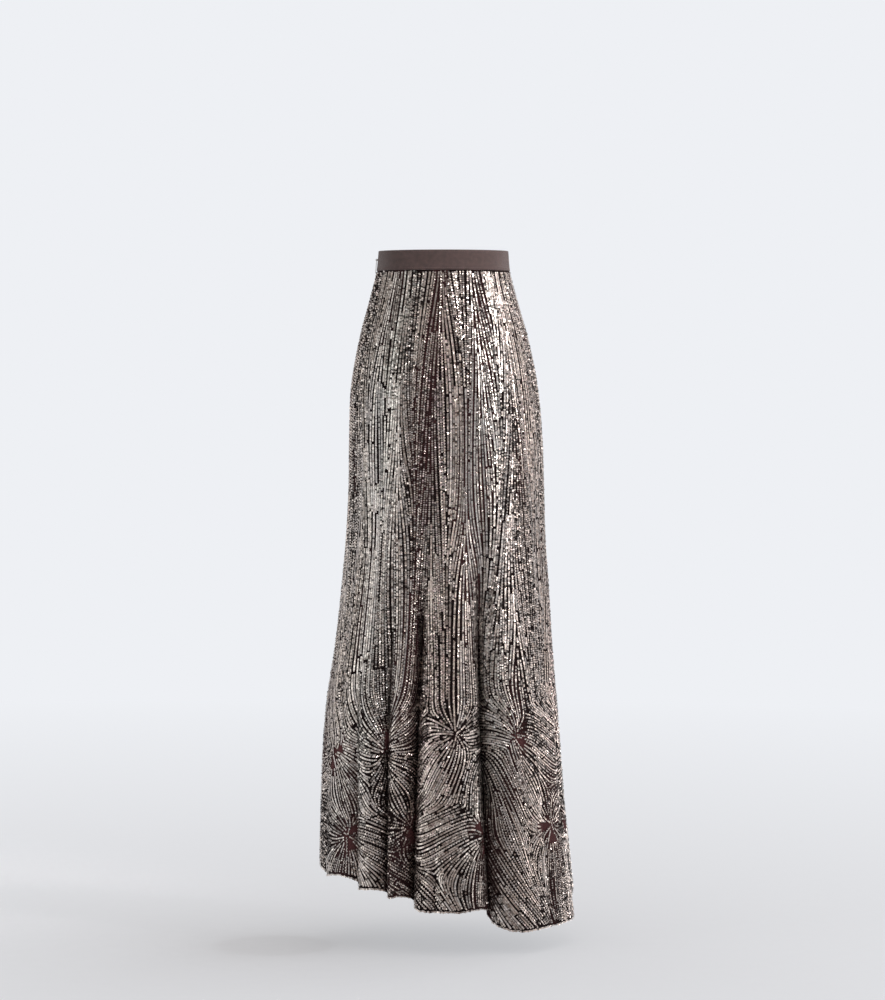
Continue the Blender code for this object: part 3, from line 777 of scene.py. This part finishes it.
def repeated(name, base, centres, frames, material, extras=None, uv_name=None):
    """One joined mesh of copies of a base bmesh: frames are each copy's three scaled axes, as
    columns, and extras named values for each copy."""
    base.verts.index_update()
    points = np.array([v.co for v in base.verts])
    faces = np.array([[v.index for v in f.verts] for f in base.faces])
    base.free()
    count, size = len(centres), len(points)
    placed = centres[:, None, :] + np.einsum("nij,kj->nki", frames, points)
    corner = (faces[None] + size * np.arange(count)[:, None, None]).ravel()
    mesh = bpy.data.meshes.new(name)
    mesh.vertices.add(count * size)
    mesh.vertices.foreach_set("co", placed.astype(np.float32).ravel())
    mesh.loops.add(len(corner))
    mesh.loops.foreach_set("vertex_index", corner.astype(np.int32))
    mesh.polygons.add(count * len(faces))
    starts = np.arange(count * len(faces), dtype=np.int32) * faces.shape[1]
    mesh.polygons.foreach_set("loop_start", starts)
    mesh.update(calc_edges=True)
    if uv_name:
        uv = np.tile((points[faces.ravel()][:, :2] * 0.5 + 0.5), (count, 1))
        mesh.uv_layers.new(name=uv_name).data.foreach_set("uv", uv.astype(np.float32).ravel())
    for label, values in (extras or {}).items():
        layer = mesh.attributes.new(label, "FLOAT", "POINT")
        layer.data.foreach_set("value", np.repeat(values, size).astype(np.float32))
    mesh.shade_smooth()
    return added(name, mesh, material)


def beads(name, material, angle, drop, depth, run, size):
    """One joined mesh of small ovals on the cloth, each pointing along its run: size is their
    length, width and height."""
    bead = bmesh.new()
    bmesh.ops.create_icosphere(bead, subdivisions=2, radius=0.5)
    normal = outwards(angle, drop)
    axes = zip((run, np.cross(normal, run), normal), size)
    frames = np.stack([axis * width for axis, width in axes], -1)
    centres = on_form(angle, drop, np.full_like(angle, depth))
    return repeated(name, bead, centres, frames, material)


def softened(node, name, material, width):
    """A copy of a CAD node with its edges rounded, which stands for it."""
    bm = bmesh.new()
    bm.from_mesh(frame["nodes"][node].data)
    bmesh.ops.remove_doubles(bm, verts=bm.verts, dist=1e-6)
    bmesh.ops.dissolve_limit(bm, angle_limit=np.radians(2), verts=bm.verts, edges=bm.edges)
    sharp = [e for e in bm.edges if e.calc_face_angle(0.0) > np.radians(30)]
    round_off(bm, sharp, width, 2)
    bmesh.ops.triangulate(bm, faces=bm.faces)
    obj = added(name, mesh_of(bm, name, 40), material, frame["nodes"][node]["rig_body"])
    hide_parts(node)
    return obj


# --- Materials ---------------------------------------------------------------------------------
def shade(colour, times):
    """A lighter or darker shade of a colour."""
    return tuple(min(1.0, c * times) for c in colour)


class Nodes:
    """A node tree, built up node by node."""

    def __init__(self, tree):
        self.tree = tree

    def add(self, kind, inputs=None, **settings):
        """A node, its settings made and its inputs set or linked."""
        node = self.tree.nodes.new("ShaderNode" + kind)
        for key, value in settings.items():
            setattr(node, key, value)
        for key, value in (inputs or {}).items():
            self.put(node.inputs[key], value)
        return node

    def put(self, socket, value):
        """Gives a socket a link or a value."""
        if isinstance(value, bpy.types.NodeSocket):
            self.tree.links.new(value, socket)
        else:
            socket.default_value = value

    def mix(self, factor, first, second, blend="MIX"):
        """Two colours mixed."""
        inputs = {0: factor, 6: first, 7: second}
        return self.add("Mix", inputs, data_type="RGBA", blend_type=blend).outputs[2]


class Finish(Nodes):
    """A material's node tree, built up from its shader."""

    def __init__(self, name):
        self.material = bpy.data.materials.new(name)
        self.material.use_nodes = True
        super().__init__(self.material.node_tree)
        self.shader = self.tree.nodes["Principled BSDF"]

    def set(self, **inputs):
        """The material with its shader's inputs set, with _ for a space in their names."""
        for key, value in inputs.items():
            self.put(self.shader.inputs[key.replace("_", " ")], value)
        return self.material

    def place(self):
        return self.add("TexCoord").outputs["Object"]

    def cloth_map(self):
        """A cloth's map, and how far across and down a point lies in it."""
        uv = self.add("UVMap", uv_map="cloth").outputs[0]
        parts = self.add("SeparateXYZ", {0: uv}).outputs
        return uv, parts[0], parts[1]

    def value(self, name):
        """A value that each corner or copy carries."""
        return self.add("Attribute", attribute_name=name).outputs["Fac"]

    def math(self, operation, *values):
        return self.add("Math", dict(enumerate(values)), operation=operation).outputs[0]

    def wave(self, value, pitch):
        """A sine that repeats once in a pitch."""
        return self.math("SINE", self.math("MULTIPLY", value, 2 * np.pi / pitch))

    def between(self, value, low, high, start=0.0, end=1.0):
        """A value that runs from start to end, made to run from low to high."""
        return self.add("MapRange", {0: value, 1: start, 2: end, 3: low, 4: high}).outputs[0]

    def noise(self, vector, scale, detail=4.0):
        inputs = {"Vector": vector, "Scale": scale, "Detail": detail}
        return self.add("TexNoise", inputs).outputs["Fac"]

    def ramp(self, value, *stops):
        """Colours along a value: each stop is a place and a colour."""
        node = self.add("ValToRGB", {0: value})
        elements = node.color_ramp.elements
        while len(elements) < len(stops):
            elements.new(0.5)
        for element, (place, colour) in zip(elements, stops):
            element.position, element.color = place, (*colour, 1.0)
        return node.outputs[0]

    def shades(self, value, colour, *stops):
        """Shades of a colour along a value: each stop is a place and a factor."""
        return self.ramp(value, *((place, shade(colour, times)) for place, times in stops))

    def times(self, first, second):
        """One colour multiplied by another."""
        return self.mix(1.0, first, second, "MULTIPLY")

    def bump(self, height, distance, strength):
        inputs = {"Height": height, "Distance": distance, "Strength": strength}
        return self.add("Bump", inputs).outputs[0]


def sequin_finish(settings):
    """Metallic film discs: a thread hole, a rim darkened with painted shade and tones from pewter
    to silver.
    """
    finish = Finish("sequin_film")
    uv = finish.add("UVMap", uv_map="disc").outputs[0]
    centred = finish.add("VectorMath", {0: uv, 1: (0.5, 0.5, 0.0)}, operation="SUBTRACT")
    radius = finish.add("VectorMath", {0: centred.outputs[0]}, operation="LENGTH").outputs["Value"]
    film = finish.shades(finish.value("tone"), settings.silver,
                         (0.0, 0.05), (0.5, 0.60), (1.0, 1.12))
    wash = finish.ramp(
        finish.value("tint"),
        (0.0, (0.94, 0.985, 0.965)),
        (0.3, (1.0, 0.995, 0.985)),
        (0.5, (1.0, 0.965, 0.955)),
        (0.72, (1.0, 0.955, 0.90)),
        (1.0, (1.0, 0.87, 0.90)),
    )
    # Painted shade: each disc's rim is darkened, for its rolled edge turning away from the light
    rim = finish.between(radius, 1.0, 0.62, 0.40, 0.49)
    hole = finish.math("LESS_THAN", radius, 0.085)
    smear = finish.noise(finish.place(), 900.0, 2.0)
    dull = finish.between(finish.value("gloss"),
                          settings.roughness + 0.06, settings.roughness * 0.4)
    return finish.set(
        Base_Color=finish.mix(hole, finish.times(finish.times(film, wash), rim),
                              (0.03, 0.02, 0.018, 1.0)),
        Metallic=finish.math("SUBTRACT", 1.0, hole),
        Roughness=finish.math("ADD", dull, finish.math("MULTIPLY", smear, 0.06)),
        Normal=finish.bump(smear, 0.00008, 0.5),
    )


def mesh_finish(settings):
    """The gores' ground: fine mesh of twisted threads, with couching threads inside and painted
    shade between the rows of sequins.
    """
    finish, colour = Finish("mesh_cloth"), settings.mesh_colour
    uv, x, y = finish.cloth_map()
    warp = finish.wave(finish.math("ADD", x, y), MESH_PITCH)
    weft = finish.wave(finish.math("SUBTRACT", x, y), MESH_PITCH)
    thread = finish.math("MAXIMUM", warp, weft)
    light = finish.shades(thread, colour, (0.0, 0.45), (0.75, 1.25))
    wear = finish.noise(uv, 45.0)
    patchy = finish.ramp(wear, (0.3, (0.75, 0.75, 0.75)), (0.7, (1.15, 1.12, 1.1)))
    inside = finish.math("GREATER_THAN", x, 0.9 * INSIDE_MAP)
    couch = finish.math("GREATER_THAN", finish.wave(x, COUCH_PITCH), 0.86)
    ground = finish.mix(finish.math("MULTIPLY", inside, couch), finish.times(light, patchy),
                        (*shade(colour, 1.2), 1.0))
    # Painted shade: the mesh is darkened to the gap shade between the rows, where sequins lie over
    # it, and keeps its own colour where it is bare; its inner face keeps at least 0.55 of its
    # colour
    gap_shade = finish.between(finish.value("bare"), settings.painted_gap_shade, 1.0)
    gap_shade = finish.math("MAXIMUM", gap_shade, finish.math("MULTIPLY", inside, 0.55))
    return finish.set(
        Base_Color=finish.times(ground, gap_shade),
        Roughness=0.78,
        Specular_IOR_Level=0.12,
        Sheen_Weight=0.06,
        Sheen_Roughness=0.5,
        Sheen_Tint=(*shade(colour, 3.0), 1.0),
        Normal=finish.bump(thread, 0.00025, 0.8),
    )


def band_finish(settings):
    """The waistband's plain cloth: a fine corded weave across the band."""
    finish = Finish("band_cloth")
    uv, x, y = finish.cloth_map()
    pick = finish.math("MULTIPLY", finish.wave(y, BAND_PICK), 0.35)
    weave = finish.math("ADD", finish.wave(x, BAND_CORD), pick)
    slub = finish.noise(uv, 140.0, 3.0)
    tone = finish.math("ADD", finish.math("MULTIPLY", weave, 0.16), slub)
    return finish.set(
        Base_Color=finish.shades(tone, settings.band_colour, (0.25, 0.7), (0.8, 1.3)),
        Roughness=finish.between(slub, 0.62, 0.85),
        Sheen_Weight=0.3,
        Sheen_Roughness=0.4,
        Normal=finish.bump(weave, 0.00018, 0.7),
    )


def tape_finish(settings):
    """The zip's tapes: a close herringbone weave."""
    finish = Finish("zip_tape_weave")
    _, x, y = finish.cloth_map()
    rib = finish.wave(finish.math("ADD", y, finish.math("PINGPONG", x, TAPE_ZIG)), TAPE_RIB)
    return finish.set(
        Base_Color=finish.shades(rib, settings.band_colour, (0.0, 0.75), (1.0, 1.35)),
        Roughness=0.85,
        Normal=finish.bump(rib, 0.00015, 0.8),
    )


def thread_finish(name, colour, scale):
    """Twisted thread or nylon, its strands running round it."""
    finish = Finish(name)
    inputs = {"Vector": finish.place(), "Scale": scale, "Distortion": 2.0}
    strands = finish.add("TexWave", inputs, bands_direction="DIAGONAL").outputs["Fac"]
    return finish.set(
        Base_Color=finish.shades(strands, colour, (0.0, 0.7), (1.0, 1.25)),
        Roughness=0.55,
        Normal=finish.bump(strands, 0.0001, 0.6),
    )


def metal_finish(settings):
    """Satin nickel, with soft lighter and darker patches of rubbing all over."""
    finish = Finish("satin_nickel")
    place = finish.place()
    grain = finish.noise(place, 3800.0, 2.0)
    return finish.set(
        Base_Color=finish.shades(finish.noise(place, 260.0), settings.metal_colour,
                                 (0.3, 0.82), (0.7, 1.08)),
        Metallic=1.0,
        Roughness=finish.between(grain, 0.2, 0.4),
        Normal=finish.bump(grain, 0.00004, 0.5),
    )


def floor_finish(settings):
    """Pale paint, mixed with a painted glow in the backdrop's colour that takes over away from the
    skirt.
    """
    finish = Finish("floor_paint_and_glow")
    place = finish.place()
    flat = finish.add("Mapping", {0: place, 1: FLOOR_SHIFT, 3: (1, 1, 0)}).outputs[0]
    away = finish.add("VectorMath", {0: flat}, operation="LENGTH").outputs["Value"]
    far = finish.math("POWER", finish.between(away, 0.0, 1.0, *FLOOR_FADE), FLOOR_FADE_POWER)
    near = finish.shades(finish.noise(place, 30.0), settings.floor_colour,
                         (0.3, 0.985), (0.7, 1.015))
    finish.set(Base_Color=near, Roughness=0.6)
    # Painted glow: even beside the skirt, a share of the floor gives off the backdrop's colour
    glow = finish.add("Emission", {"Color": (*settings.backdrop, 1.0), "Strength": 1.0})
    far = finish.between(far, FLOOR_LEAST_FADE, 1.0)
    fade = finish.add("MixShader", {0: far, 1: finish.shader.outputs[0], 2: glow.outputs[0]})
    finish.put(finish.tree.nodes["Material Output"].inputs[0], fade.outputs[0])
    return finish.material


# --- Settings ----------------------------------------------------------------------------------
class SkirtClothSettings(bpy.types.PropertyGroup):
    mesh_depth: FloatProperty(
        name="Mesh depth", description="How far the mesh lies below the sequins' face",
        default=0.0011, unit="LENGTH")
    mesh_wall: FloatProperty(
        name="Mesh thickness", description="Thickness of the mesh cloth",
        default=0.0009, unit="LENGTH")
    mesh_colour: FloatVectorProperty(
        name="Mesh colour", description="Colour of the mesh where it is bare",
        default=(0.115, 0.046, 0.048), subtype="COLOR", size=3)
    # Painted shade on the mesh between the rows, where sequins lie over it
    painted_gap_shade: FloatProperty(
        name="Backing shade", description="How dark the threads make the mesh between rows",
        default=0.07, subtype="FACTOR")
    band_colour: FloatVectorProperty(
        name="Band colour", description="Colour of the waistband and the zip's tapes",
        default=(0.080, 0.048, 0.044), subtype="COLOR", size=3)
    columns: IntProperty(
        name="Columns", description="Faces across one gore", default=44)
    rows: IntProperty(
        name="Rows", description="Faces from the waistband to the hem", default=150)


class SkirtSequinSettings(bpy.types.PropertyGroup):
    spacing: FloatProperty(
        name="Row spacing", description="Distance between neighbouring rows of sequins",
        default=0.0050, unit="LENGTH")
    sides: IntProperty(
        name="Disc sides", description="Sides of one sequin", default=8)
    roughness: FloatProperty(
        name="Roughness", description="Roughness of the sequins' film",
        default=0.38, subtype="FACTOR")
    silver: FloatVectorProperty(
        name="Silver", description="Colour of the lightest sequins",
        default=(0.84, 0.775, 0.738), subtype="COLOR", size=3)


class SkirtTrimSettings(bpy.types.PropertyGroup):
    metal_colour: FloatVectorProperty(
        name="Metal", description="Colour of the slider, pull, stop, hook and eye",
        default=(0.62, 0.60, 0.57), subtype="COLOR", size=3)
    stitch: FloatProperty(
        name="Stitch length", description="Length of the waistband's topstitches",
        default=0.0027, unit="LENGTH")


class SkirtStageSettings(bpy.types.PropertyGroup):
    backdrop: FloatVectorProperty(
        name="Backdrop", description="Colour of the backdrop",
        default=(0.855, 0.871, 0.905), subtype="COLOR", size=3)
    floor_colour: FloatVectorProperty(
        name="Floor", description="Colour of the floor near the skirt",
        default=(0.73, 0.745, 0.77), subtype="COLOR", size=3)
    floor_drop: FloatProperty(
        name="Floor level", description="How far the floor lies below the waist",
        default=1.234, unit="LENGTH")


# --- Operators ---------------------------------------------------------------------------------
def gore_place(start, columns, rows):
    """The angle and drop of a gore's corners, from the band's lower edge to the hem. Each gore
    meets the next with no gap, so that no light shows through the seams."""
    def place(column, row):
        angle = start + GORE_ANGLE * column / columns
        return angle, CLOTH_TOP + row / rows * (hem_drop(angle) - CLOTH_TOP)
    return place


class SKIRT_OT_gores(bpy.types.Operator):
    """Six flared gores of mesh, the ground that the sequins are sewn to"""

    bl_idname = "skirt.gores"
    bl_label = "Mesh gores"

    def execute(self, context):
        cloth = context.scene.skirt_cloth
        material = mesh_finish(cloth)
        outer, inner = cloth.mesh_depth, cloth.mesh_depth + cloth.mesh_wall
        for i, node in enumerate(GORES):
            place = gore_place(ZIP_ANGLE + i * GORE_ANGLE, cloth.columns, cloth.rows)
            size = GORE_CUTS[node].width, GORE_CUTS[node].length
            name = node.replace("gore", "mesh")
            piece = cloth_wall(name, material, place, size, cloth.columns,
                               np.arange(cloth.rows + 1), outer, inner)
            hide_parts(node)
        return {"FINISHED"}


class SKIRT_OT_sequins(bpy.types.Operator):
    """Rows of sequins that stream down the skirt and burst near the hem"""

    bl_idname = "skirt.sequins"
    bl_label = "Sequin rows"

    def execute(self, context):
        settings = context.scene.skirt_sequins
        rng = np.random.default_rng(SEED)
        cloth = Cloth(settings.spacing, rng)
        rows = cloth.rows_of()
        places = self.places(rows, np.random.default_rng(SEED + 1))
        material = sequin_finish(settings)
        centres, frames, looks, angle = self.discs(places, cloth,
                                                   np.random.default_rng(SEED + 2))
        gore = ((angle - ZIP_ANGLE) % 360.0 / GORE_ANGLE).astype(int)
        for i, node in enumerate(GORES):
            here = gore == i
            disc = bmesh.new()
            bmesh.ops.create_circle(disc, cap_ends=True, radius=1.0, segments=settings.sides)
            bmesh.ops.poke(disc, faces=disc.faces[:])
            for vert in disc.verts:
                vert.co.z = vert.co.xy.length
            extras = {label: values[here] for label, values in looks.items()}
            piece = repeated(node.replace("gore", "sequins"), disc, centres[here], frames[here],
                             material, extras, "disc")
            mesh = bpy.data.objects[node.replace("gore", "mesh")]
            cut = GORE_CUTS[node]
            self.paint_bare(mesh.data, cloth, ZIP_ANGLE + i * GORE_ANGLE, cut)
        print(f"{len(rows)} rows, {len(centres)} sequins")
        return {"FINISHED"}

    def paint_bare(self, mesh, cloth, start, cut):
        """Marks how bare the mesh is at each of its corners; where it is bare, the painted shade
        between the rows is lifted.
        """
        uv = np.empty(2 * len(mesh.loops), np.float32)
        mesh.uv_layers["cloth"].data.foreach_get("uv", uv)
        across, down = uv.reshape(-1, 2).T
        across = np.where(across > 0.9 * INSIDE_MAP, across - INSIDE_MAP, across)
        angle = start + GORE_ANGLE * across / cut.width
        drop = CLOTH_TOP + down / cut.length * (hem_drop(angle) - CLOTH_TOP)
        bare = np.maximum(cloth.bareness(angle, drop, BARE_REACH) ** BARE_POWER,
                          SPARSE_BARE * cloth.sparse(angle, drop))
        layer = mesh.attributes.new("bare", "FLOAT", "CORNER")
        layer.data.foreach_set("value", bare.astype(np.float32))

    def places(self, rows, rng):
        """Each sequin's angle, drop, kind of row and place in its row, then its row's number,
        shade and way of leaning."""
        ends = np.cumsum([k.share for k in KINDS])
        patch = Ripple(np.random.default_rng(KIND_SEED), 5, 16, 1.8)
        found = []
        for number, row in enumerate(rows):
            points = np.array(row)
            points[:, 0] = np.unwrap(points[:, 0], period=360.0)
            middle = points[len(points) // 2]
            chance = KIND_PATCH * patch(*middle) + KIND_ROW * rng.normal()
            chance = 0.5 + 0.5 * math.erf(chance / math.sqrt(2))
            kind = min(int(np.searchsorted(ends, chance * ends[-1])), len(KINDS) - 1)
            length = STEP * (len(points) - 1)
            along = np.arange(rng.uniform(*FIRST_DISC), length, KINDS[kind].pitch)
            steps = np.arange(len(points)) * STEP
            angle = np.interp(along, steps, points[:, 0])
            drop = np.interp(along, steps, points[:, 1])
            full = np.ones_like(along)
            way = 1.0 if rng.random() < LEANING_SHARE else -1.0
            found.append(np.stack([
                angle, drop, kind * full, np.arange(len(along)), number * full,
                rng.normal(0, 1) * full, way * full,
            ], -1))
        return np.concatenate(found)

    def discs(self, places, cloth, rng):
        """Each sequin's centre, its three scaled axes, its tone, tint and gloss, and its angle."""
        angle, drop, kind, order, number, chance, way = places.T
        table = np.array(KINDS)[kind.astype(int)]
        size, lean, sway, spread, cup, lift, beat, zigzag = table.T[1:9]
        count = len(angle)
        point, normal = outer_face(angle, drop), outwards(angle, drop)
        run = np.roll(point, -1, axis=0) - point
        last = np.roll(number, -1) != number
        run[last] = np.roll(run, 1, axis=0)[last]
        run[np.linalg.norm(run, axis=-1) < 1e-7] = (0, 0, -1)
        run = unit(run - (run * normal).sum(-1)[:, None] * normal)
        side = np.cross(normal, run)
        every_other = order % 2 * 2 - 1
        point = point + side * (zigzag * every_other)[:, None]
        glitter = Ripple(np.random.default_rng(GLITTER_SEED), 5, 15, 3.5)(angle, drop)
        glitter = eased(glitter - GLITTER_START)
        astray = rng.random(count) < ASTRAY_SHARE[0] + ASTRAY_SHARE[1] * glitter
        spread = spread * np.where(astray, ASTRAY_TIMES, 1.0)
        lean = np.radians(lean * way + rng.normal(0, 1, count) * spread)
        turn = np.radians(sway * every_other + rng.normal(0, 1, count) * spread)
        up = unit(normal + np.tan(lean)[:, None] * -run + np.tan(turn)[:, None] * side)
        fore = unit(run - (run * up).sum(-1)[:, None] * up)
        cross = np.cross(up, fore)
        sparse = cloth.sparse(angle, drop)
        lower = eased((drop - FLARE_START) / (FLARE_FULL - FLARE_START))
        half = size / 2 * rng.uniform(*DISC_SIZE, count) * (1 - SPARSE_SHRINK_AND_SHADE * sparse)
        half = half * (1 + LOWER_SIZE * lower)
        depth = half * cup * rng.uniform(*DISC_DISH, count)
        frames = np.stack([
            fore * half[:, None], cross * half[:, None], up * depth[:, None]
        ], -1)
        uneven = (CALM_TONE + GLITTER_TONE * glitter) * rng.normal(0, 1, count)
        tone = BASE_TONE + lift + ROW_TONE * chance + beat * every_other + uneven
        tone = tone + LOWER_TONE * lower
        # Painted shade: discs drawn as lying in another's shade, and the discs of the darker
        # patches, are darkened
        shaded = rng.random(count) < DARK_SHARE[0] + DARK_SHARE[1] * glitter
        tone = tone * np.where(shaded, SHADED_TONE, 1 - SPARSE_SHRINK_AND_SHADE * sparse)
        tint = TINT_PATCH * Ripple(np.random.default_rng(TINT_SEED), 4, 12, 2.0)(angle, drop)
        tint = TINT_MIDDLE + tint + TINT_DISC * rng.normal(0, 1, count)
        looks = {
            "tone": np.clip(tone, 0, 1),
            "tint": np.clip(tint, 0, 1),
            "gloss": rng.random(count) ** GLOSS_POWER,
        }
        return point, frames, looks, angle


class SKIRT_OT_waistband(bpy.types.Operator):
    """The plain waistband, its topstitching and the opening for the slider's neck"""

    bl_idname = "skirt.waistband"
    bl_label = "Waistband"

    def execute(self, context):
        cloth, trim = context.scene.skirt_cloth, context.scene.skirt_trim
        size = BAND_CUT.width, BAND_CUT.length

        def place(column, row):
            drop = BAND_DROPS[row]
            inset = zip_turn(BAND_HALVES[row], drop)
            turn = np.clip(column / BAND_COLUMNS * 360.0, inset, 360.0 - inset)
            return ZIP_ANGLE + turn, drop

        band = cloth_wall("band", band_finish(cloth), place, size, BAND_COLUMNS, BAND_DROPS,
                          -BAND_PROUD, CLOTH_WALL, round_edge=BAND_ROUNDING)
        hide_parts("waistband")
        stitches = self.stitches(trim.stitch, cloth)
        return {"FINISHED"}

    def stitches(self, length, cloth):
        """Two lines of topstitching, just inside the band's edges."""
        angles, drops = [], []
        for drop in (STITCH_INSET, BAND_HEIGHT - STITCH_INSET):
            turns = np.arange(0.0, 360.0, 0.05)
            line = outer_face(turns, np.full_like(turns, drop))
            run = np.concatenate([[0], np.cumsum(np.linalg.norm(np.diff(line, axis=0), axis=1))])
            along = np.arange(STITCH_ENDS, run[-1] - STITCH_ENDS, length * STITCH_PITCH)
            angles.append(ZIP_ANGLE + np.interp(along, run, turns))
            drops.append(np.full(len(along), drop))
        angle, drop = np.concatenate(angles), np.concatenate(drops)
        run = unit(outer_face(angle + 0.5, drop) - outer_face(angle - 0.5, drop))
        thread = thread_finish("topstitch_thread", shade(cloth.band_colour, 1.7), 900.0)
        return beads("band_stitches", thread, angle, drop, -BAND_PROUD - STITCH_PROUD, run,
                     (length, STITCH_WIDE, STITCH_HIGH))


class SKIRT_OT_zip(bpy.types.Operator):
    """The concealed zip: tapes, coil, slider, pull and stop"""

    bl_idname = "skirt.zip"
    bl_label = "Concealed zip"

    def execute(self, context):
        cloth, trim = context.scene.skirt_cloth, context.scene.skirt_trim
        tape, size = tape_finish(cloth), (TAPE_CUT.width, TAPE_CUT.length)
        for name, sign in (("tape_back", 1), ("tape_front", -1)):
            def place(column, row, sign=sign):
                drop = TAPE_DROPS[row]
                side = sign * (TAPE_INSET + column / TAPE_COLUMNS * TAPE_CUT.width)
                return ZIP_ANGLE + zip_turn(side, drop), drop

            piece = cloth_wall(name, tape, place, size, TAPE_COLUMNS, TAPE_DROPS, *TAPE_DEPTHS)
            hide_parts("zip_" + name)
        coil = self.coil(cloth)
        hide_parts("zip_coil")
        metal = metal_finish(trim)
        for node, width in METAL_ROUNDING.items():
            name = node.replace("zip_", "").replace("waist_", "") + "_metal"
            softened(node, name, metal, width)
        return {"FINISHED"}

    def coil(self, cloth):
        """Two interlocked rows of coil loops behind the tapes."""
        drop = np.arange(COIL_TOP, COIL_FOOT, COIL_PITCH)
        side = np.where(np.arange(len(drop)) % 2 == 0, 1.0, -1.0)
        angle = ZIP_ANGLE + zip_turn(side * COIL_SIDE, drop)
        down = unit(outer_face(angle, drop + 0.001) - outer_face(angle, drop - 0.001))
        across = np.cross(outwards(angle, drop), down)
        nylon = thread_finish("coil_nylon", cloth.band_colour, 1400.0)
        return beads("coil_loops", nylon, angle, drop, COIL_DEPTH, across, COIL_LOOP)


class SKIRT_OT_stage(bpy.types.Operator):
    """The pale floor and backdrop, the soft lights and the camera"""

    bl_idname = "skirt.stage"
    bl_label = "Stage"

    def execute(self, context):
        scene, stage = context.scene, context.scene.skirt_stage
        self.floor(stage)
        self.backdrop(scene, stage)
        for light in LAMPS:
            lamp = bpy.data.lights.new(light.name, "AREA")
            lamp.shape, lamp.size, lamp.size_y = "RECTANGLE", light.wide, light.tall
            lamp.energy, lamp.color = light.power, light.colour
            lamp.spread = np.radians(light.spread)
            aim = Vector(light.target) - Vector(light.place)
            self.stand(scene, lamp, light.place, aim.to_track_quat("-Z", "Y").to_euler())
        camera = bpy.data.cameras.new("camera")
        camera.lens, camera.sensor_width, camera.sensor_fit = CAMERA_LENS, CAMERA_SENSOR, "AUTO"
        camera.clip_end = CAMERA_REACH
        turn = np.radians(90.0 - CAMERA_TILT), 0.0, np.radians(180.0)
        scene.camera = self.stand(scene, camera, CAMERA_PLACE, turn)
        scene.view_settings.view_transform = "Standard"
        return {"FINISHED"}

    def stand(self, scene, data, place, turn):
        """Puts a lamp or the camera in its place."""
        obj = bpy.data.objects.new(data.name, data)
        scene.collection.objects.link(obj)
        obj.location, obj.rotation_euler = place, turn
        return obj

    def floor(self, stage):
        """A wide round floor under the skirt."""
        bm = bmesh.new()
        bmesh.ops.create_circle(bm, cap_ends=True, radius=FLOOR_RADIUS, segments=FLOOR_SIDES)
        bmesh.ops.translate(bm, vec=(0, 0, -stage.floor_drop), verts=bm.verts)
        floor = added("floor", mesh_of(bm, "floor", 40), floor_finish(stage), body=None)

    def backdrop(self, scene, stage):
        """The camera sees the backdrop, and the skirt is lit by softer, darker surroundings."""
        scene.world = bpy.data.worlds.new("studio")
        scene.world.use_nodes = True
        world = Nodes(scene.world.node_tree)
        world.tree.nodes.clear()
        towards = world.add("TexCoord").outputs["Generated"]
        light = (*SURROUND, 1.0)
        for glow in GLOWS:
            inputs = {0: towards, 1: Vector(glow.aim).normalized()}
            along = world.add("VectorMath", inputs, operation="DOT_PRODUCT").outputs["Value"]
            share = world.add("MapRange", {0: along, 1: glow.low, 2: glow.high},
                              interpolation_type="SMOOTHSTEP").outputs[0]
            light = world.mix(share, light, (*glow.colour, 1.0), "ADD")
        soft = world.add("Background", {"Color": light, "Strength": 1.0})
        seen = world.add("Background", {"Color": (*stage.backdrop, 1.0), "Strength": 1.0})
        camera = world.add("LightPath").outputs["Is Camera Ray"]
        mixed = world.add("MixShader", {0: camera, 1: soft.outputs[0], 2: seen.outputs[0]})
        world.add("OutputWorld", {0: mixed.outputs[0]})


class SKIRT_PT_panel(bpy.types.Panel):
    """Lists the skirt's pieces in the order in which they are made"""

    bl_idname = "SKIRT_PT_panel"
    bl_label = "Sequin maxi skirt"
    bl_space_type = "VIEW_3D"
    bl_region_type = "UI"
    bl_category = "Skirt"

    def draw(self, context):
        layout = self.layout
        for operator in OPERATORS:
            layout.operator(operator.bl_idname)
        for attribute, group in SETTINGS.items():
            box = layout.box()
            for key in group.__annotations__:
                box.prop(getattr(context.scene, attribute), key)


OPERATORS = (
    SKIRT_OT_gores,
    SKIRT_OT_waistband,
    SKIRT_OT_sequins,
    SKIRT_OT_zip,
    SKIRT_OT_stage,
)
SETTINGS = {
    "skirt_cloth": SkirtClothSettings,
    "skirt_sequins": SkirtSequinSettings,
    "skirt_trim": SkirtTrimSettings,
    "skirt_stage": SkirtStageSettings,
}


def register():
    for attribute, group in SETTINGS.items():
        bpy.utils.register_class(group)
        setattr(bpy.types.Scene, attribute, PointerProperty(type=group))
    for operator in OPERATORS:
        bpy.utils.register_class(operator)
    bpy.utils.register_class(SKIRT_PT_panel)


def unregister():
    bpy.utils.unregister_class(SKIRT_PT_panel)
    for operator in reversed(OPERATORS):
        bpy.utils.unregister_class(operator)
    for attribute, group in SETTINGS.items():
        delattr(bpy.types.Scene, attribute)
        bpy.utils.unregister_class(group)


def main():
    """Builds every piece and the stage."""
    for obj in list(bpy.data.objects):
        if obj.name in ("Cube", "Light", "Camera"):
            bpy.data.objects.remove(obj)
    register()
    bpy.ops.skirt.gores()
    bpy.ops.skirt.waistband()
    bpy.ops.skirt.sequins()
    bpy.ops.skirt.zip()
    bpy.ops.skirt.stage()


if __name__ == "__main__":
    main()
